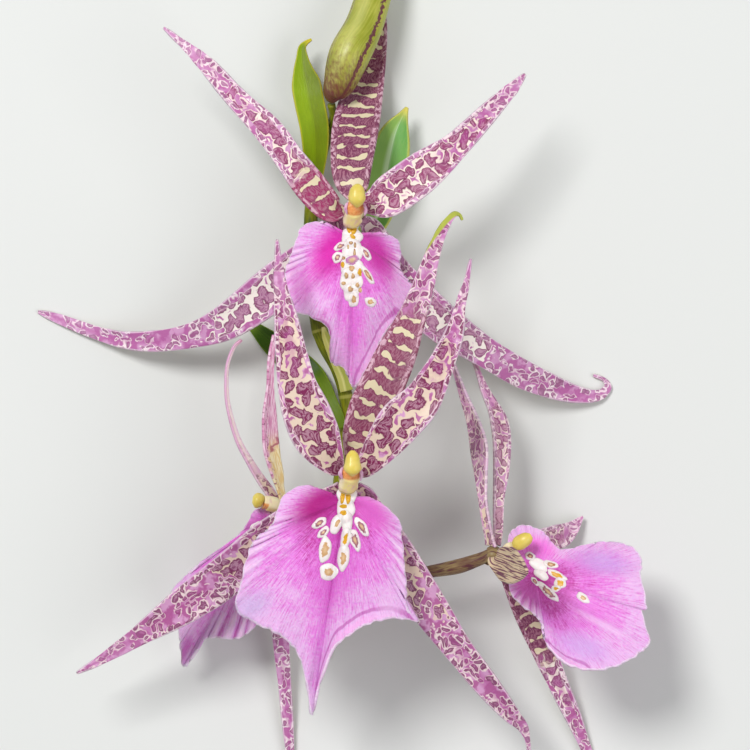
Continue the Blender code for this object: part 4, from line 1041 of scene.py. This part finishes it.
crest("upper_crest", "upper_lip", [
    (-5.8, 34.6, 2.3, 2.6, 90, 0.9, GOLD, 0), (-5.7, 31, 3.2, 2.5, 90, 0.9, GOLD, 0),
    (-5.9, 27, 2.8, 2.8, 90, 0.9, GOLD, 0), (-6, 23.6, 3.2, 2.8, 90, 0.9, GOLD, 0),
    (-6, 20.6, 2.2, 1.9, 90, 0.7, GOLD, 0), (-5.3, 18.9, 2, 1.3, 80, 0.6, TAN, 0.5),
    (-6.5, 36.6, 1.1, 0.6, 100, 0.25, GOLD, 1.3), (-5.2, 36.2, 1.2, 0.6, 70, 0.25, GOLD, 1.3),
    (-5.6, 34.6, 0.8, 0.5, -40, 0.2, GOLD, 1.3), (-6, 33, 0.5, 0.4, 0, 0.15, BROWN, 1.3),
    (-5, 32.4, 0.7, 0.3, 90, 0.15, BROWN, 1.3), (-5.1, 30.5, 1, 0.3, 90, 0.15, BROWN, 1.3),
    (-6.7, 32, 0.6, 0.25, 90, 0.12, TAN, 1.3), (-5.7, 28.7, 1.7, 1.1, 20, 0.12, PINK, 1.2),
    (-8.1, 27.5, 0.8, 0.5, 90, 0.25, GOLD, 1.1), (-7.9, 29.2, 0.5, 0.4, 0, 0.2, BROWN, 1.1),
    (-5.8, 26.6, 0.75, 0.75, 0, 0.3, TAN, 1), (-7.2, 24.8, 0.8, 0.55, 90, 0.3, TAN, 1),
    (-5.5, 24.7, 0.7, 0.5, 90, 0.3, TAN, 1), (-3.8, 25.6, 1, 0.55, 90, 0.3, GOLD, 1),
    (-7.9, 22.9, 0.65, 0.5, 0, 0.25, TAN, 1), (-4.4, 22.5, 0.7, 0.5, 90, 0.3, TAN, 1),
    (-3.7, 21.2, 0.65, 0.5, 90, 0.25, TAN, 1), (-6.1, 21.4, 0.75, 0.65, 90, 0.3, TAN, 1),
    (-8.7, 32.2, 1.7, 0.9, 28, 0.6, MAUVE, 0.6), (-9.4, 29.4, 1.5, 1.2, 60, 0.6, MAUVE, 0.55),
    (-2.2, 30.3, 2, 0.9, -58, 0.6, MAUVE, 0.6), (-1.8, 25, 2.8, 0.8, -58, 0.6, BROWN, 0.6),
    (-1.1, 18.2, 1.5, 1.15, -25, 0.45, TAN, 0.55)])
crest("middle_crest", "middle_lip", [
    (-7.1, -30.2, 2.4, 2.4, 90, 0.9, GOLD, 0), (-7.3, -33.6, 3, 2.2, 90, 0.9, GOLD, 0),
    (-9.4, -37, 2.9, 1.4, 62, 0.8, TAN, 0.35), (-7, -37, 3.2, 1.3, 88, 0.8, GOLD, 0),
    (-7.4, -41, 3, 1.2, 80, 0.75, GOLD, 0.5), (-7.9, -45.6, 3.2, 1.5, 84, 0.75, TAN, 0.5),
    (-8.1, -30.5, 1.6, 0.55, 82, 0.25, GOLD, 1.3), (-6.7, -30.7, 1.5, 0.6, 92, 0.25, GOLD, 1.3),
    (-7.9, -32.8, 0.9, 0.5, 0, 0.2, GOLD, 1.3), (-7.9, -34.4, 0.8, 0.6, 0, 0.2, GOLD, 1.3),
    (-13.9, -37, 2, 1.1, 33, 0.6, MAUVE, 0.6), (-12.9, -39.3, 1.8, 1, 45, 0.6, MAUVE, 0.55),
    (-12.5, -43.6, 3.2, 1.5, 83, 0.6, TAN, 0.6), (-11.6, -49.2, 2.2, 2.1, 0, 0.55, TAN, 0.5),
    (-3.3, -37.9, 2.7, 1.1, -56, 0.6, MAUVE, 0.62), (-5, -41.2, 2.8, 1.2, -72, 0.6, MAUVE, 0.62)])
crest("right_crest", "right_lip", [
    (41, -47.6, 2.4, 1.5, -30, 0.5, GOLD, 0), (41.6, -50, 2, 1.1, -30, 0.5, GOLD, 0),
    (38.9, -45.4, 1.3, 1, -20, 0.5, MAUVE, 0.6), (44, -47.4, 1.9, 0.9, -15, 0.5, BROWN, 0.6),
    (45.5, -50, 2.6, 0.9, -25, 0.5, GOLD, 0.65), (46.2, -52, 1.5, 1.4, 0, 0.5, GOLD, 0.6),
    (45.2, -53.3, 1.2, 0.8, 10, 0.4, GOLD, 0.5), (43.2, -54.1, 3.4, 1, -42, 0.5, MAUVE, 0.65),
    (40, -51.6, 1.3, 0.6, -50, 0.4, MAUVE, 0.6), (51.8, -55.5, 1.8, 1, -38, 0.4, TAN, 0.5)])
crest("left_crest", "left_lip", [
    (-29.6, -38.4, 2, 1.5, 50, 0.6, GOLD, 0), (-31.4, -41, 2.4, 1, 50, 0.5, GOLD, 0.5),
    (-29.6, -41.4, 2, 0.9, 70, 0.5, MAUVE, 0.6), (-33.4, -42.6, 1.5, 0.9, 40, 0.5, TAN, 0.5)])

# The columns and their anther caps
# A short waxy column stands over each crest. Its neck is cream, its hollow is orange brown, and a
# smooth yellow cap sits on its end. The upper and middle columns have a small mauve wing on each
# side of the hollow.

WING = 2.0
HOLLOW = (0.62, 0.95)

column_skin, tree, shader = finish("column_skin", 0.34, coat=0.2, glow=0.15)
place = surface_map(tree)
across, along = shares(tree)
facing = apart(across, 0.5)
# Painted shade: a dark line across the front of the neck, where it creases.
crease_shade = times(ease(apart(along, 0.30), 0.03, 0.01), ease(facing, 0.2, 0.1))
hollow = times(ease(along, HOLLOW[0], HOLLOW[0] + 0.06), ease(facing, 0.26, 0.20))
colour = layers(
    mixed(ease(facing, 0.12, 0.20), "EAD68E", "F2E6BC"),
    ("D9A2B8", ease(noise(place, 7.0, 2), 0.5, 0.7), 0.35),
    # The painted shade of the crease.
    ("9C8A50", crease_shade, 0.6),
    (mixed(noise(place, 18.0, 3), "CE702E", "FABC76"), hollow),
    (mixed(noise(place, 9.0, 2), "F2D6E6", "B8589E"), ease(across, 1.2, 1.4)))
paint(shader, colour, noise(place, 12.0, 2), 0.1)


def column_fullness(angle, share):
    """Ridges down both sides of the neck, and a shallow hollow under the cap."""
    ridges = hump(angle, 0.62 * math.pi, 0.25) + hump(angle, 1.38 * math.pi, 0.25)
    sunk = hump(angle, math.pi, 0.8) if HOLLOW[0] < share < HOLLOW[1] else 0.0
    return 1 + 0.10 * ridges - 0.16 * sunk


def wing_fullness(angle, share):
    """A wing is flat and a little wavy."""
    return 1 - 0.55 * abs(math.cos(angle)) + 0.12 * math.sin(3 * angle + 9 * share)


def cap_fullness(angle, share):
    """The cap has a faint groove down its middle."""
    return 1 - 0.05 * hump(angle, math.pi, 0.3)


cap_skin, tree, shader = finish("cap_skin", 0.32, coat=0.25, glow=0.15)
place = surface_map(tree)
along = shares(tree)[1]
colour = over(mixed(noise(place, 5.0, 2), "D6BC46", "E4D274"), "EBD65A", ease(along, 0.75, 1.0))
paint(shader, colour, noise(place, 12.0, 2), 0.08)


def column(bloom, stations, cap, wings, up):
    patches = [tube(stations, 48, sides=48, up=up, fullness=column_fullness)]
    for wing in wings:
        grid, maps = tube(wing, 18, sides=18, up=up, fullness=wing_fullness)
        maps["share"] = maps["share"] + (WING, 0)
        patches.append((grid, maps))
    grow(f"{bloom}_column", [column_skin], patches)
    knob = tube(cap, 36, sides=36, up=up, fullness=cap_fullness)
    grow(f"{bloom}_anther_cap", [cap_skin], [knob])


column("upper", [
    (-5.4, 39.8, 32.7, 1.1), (-5.7, 38.8, 34, 2.2), (-5.6, 39.8, 35.6, 2), (-5.2, 41.8, 37.1, 2.2),
    (-4.9, 43.6, 37.8, 1.5)],
    [(-4.6, 41.9, 40.2, 0.3), (-4.5, 42.8, 40.7, 1.3), (-4.5, 43.9, 41, 2.05), (-4.5, 45.3, 41.1, 1.95),
     (-4.4, 46.6, 40.9, 1.6), (-4.4, 47.5, 40.5, 0.7)],
    [[(-6.8, 43.2, 38.2, 0.3), (-7.2, 42.4, 38.6, 0.7), (-7.3, 41.4, 38.6, 0.7), (-7, 40.2, 38.2, 0.2)],
     [(-2.9, 43, 38.2, 0.3), (-2.5, 42, 38.6, 0.7), (-2.3, 41, 38.6, 0.8), (-2.6, 39.8, 38.2, 0.2)]],
    (0, -1, 0.3))
column("middle", [
    (-6.6, -26.9, 47.8, 1.1), (-6.8, -27.7, 49, 2.2), (-6.4, -26.4, 50.8, 2), (-6, -24.2, 52.3, 2.3),
    (-5.8, -22.4, 53, 1.6)],
    [(-5.6, -25.2, 55.6, 0.3), (-5.6, -24.4, 56.1, 1.3), (-5.6, -23.4, 56.5, 2.1), (-5.6, -21.8, 56.6, 1.8),
     (-5.6, -20.2, 56.3, 1.5), (-5.6, -19.1, 55.9, 0.7)],
    [[(-8.1, -23.1, 53.2, 0.3), (-8.5, -23.8, 53.6, 0.7), (-8.6, -24.9, 53.6, 0.8), (-8.2, -26, 53.2, 0.2)],
     [(-3.9, -23.4, 53.2, 0.3), (-3.5, -24.2, 53.6, 0.7), (-3.4, -25.4, 53.6, 0.7),
      (-3.6, -26.4, 53.2, 0.2)]], (0, -1, 0.3))
column("right", [
    (32.4, -44.3, 24.7, 0.8), (33, -43.9, 25.7, 1.4), (33.6, -43.5, 26.2, 1.6), (34.1, -43.2, 26.5, 1.5),
    (34.4, -43, 26.8, 1.4)],
    [(34.9, -42.7, 27.2, 1.2), (35.8, -42.2, 27.6, 1.8), (37.1, -41.4, 28.1, 1.8), (38.3, -40.7, 28.4, 1.5),
     (39.1, -40.2, 28.5, 0.7)], [], (0.4, -1, 0.2))
column("left", [
    (-23.5, -33.4, 24.5, 0.8), (-24.8, -32.6, 26.3, 1.8), (-26.2, -32.2, 27.1, 1.9),
    (-27.3, -31.9, 27.5, 1.75), (-27.9, -31.8, 27.7, 1.6)],
    [(-28.3, -31.8, 27.8, 1.5), (-29, -31.5, 28, 1.9), (-29.9, -31.3, 28.1, 1.8), (-30.6, -31.2, 28.1, 0.9)],
    [], (-0.4, -1, 0.2))

# The floor, the lights and the camera
# The spray lies on a plain pale floor under wide soft lamps. The camera looks straight down on it
# from a height of nine tenths of a metre.

FLOOR_HALF = 4.0
HALF_FRAME = 0.09375

floor_mesh = bpy.data.meshes.new("floor")
square = ((-1, -1), (1, -1), (1, 1), (-1, 1))
floor_mesh.from_pydata([(x * FLOOR_HALF, y * FLOOR_HALF, 0) for x, y in square], [], [(0, 1, 2, 3)])
floor = show("floor", floor_mesh)
floor_paint, _, shader = finish("floor_paint", 0.9)
give(shader.inputs["Base Color"], "DCDDDA")
floor_mesh.materials.append(floor_paint)

world = bpy.data.worlds.new("studio")
world.use_nodes = True
glow = world.node_tree.nodes["Background"].inputs
give(glow["Color"], "EEF1F4")
give(glow["Strength"], 0.42)
bpy.context.scene.world = world


def lamp(name, place, size, power):
    light = bpy.data.lights.new(name, "AREA")
    light.shape = "DISK"
    light.size = size
    light.energy = power
    shown = show(name, light)
    shown.location = place
    shown.rotation_euler = (-Vector(place)).to_track_quat("-Z", "Y").to_euler()


lamp("main_lamp", (-0.45, 0.55, 1.2), 0.45, 13.5)
lamp("fill_lamp", (0.8, -0.3, 1.1), 1.0, 6)

lens = bpy.data.cameras.new("camera")
lens.sensor_width = 36.0
lens.lens = lens.sensor_width / 2 * VIEW_HEIGHT * MM / HALF_FRAME
lens.clip_start = 0.05
camera = show("camera", lens)
camera.location = (-MIDDLE_X * MM, -MIDDLE_Y * MM, VIEW_HEIGHT * MM)
bpy.context.scene.camera = camera
bpy.context.scene.view_settings.view_transform = "Standard"
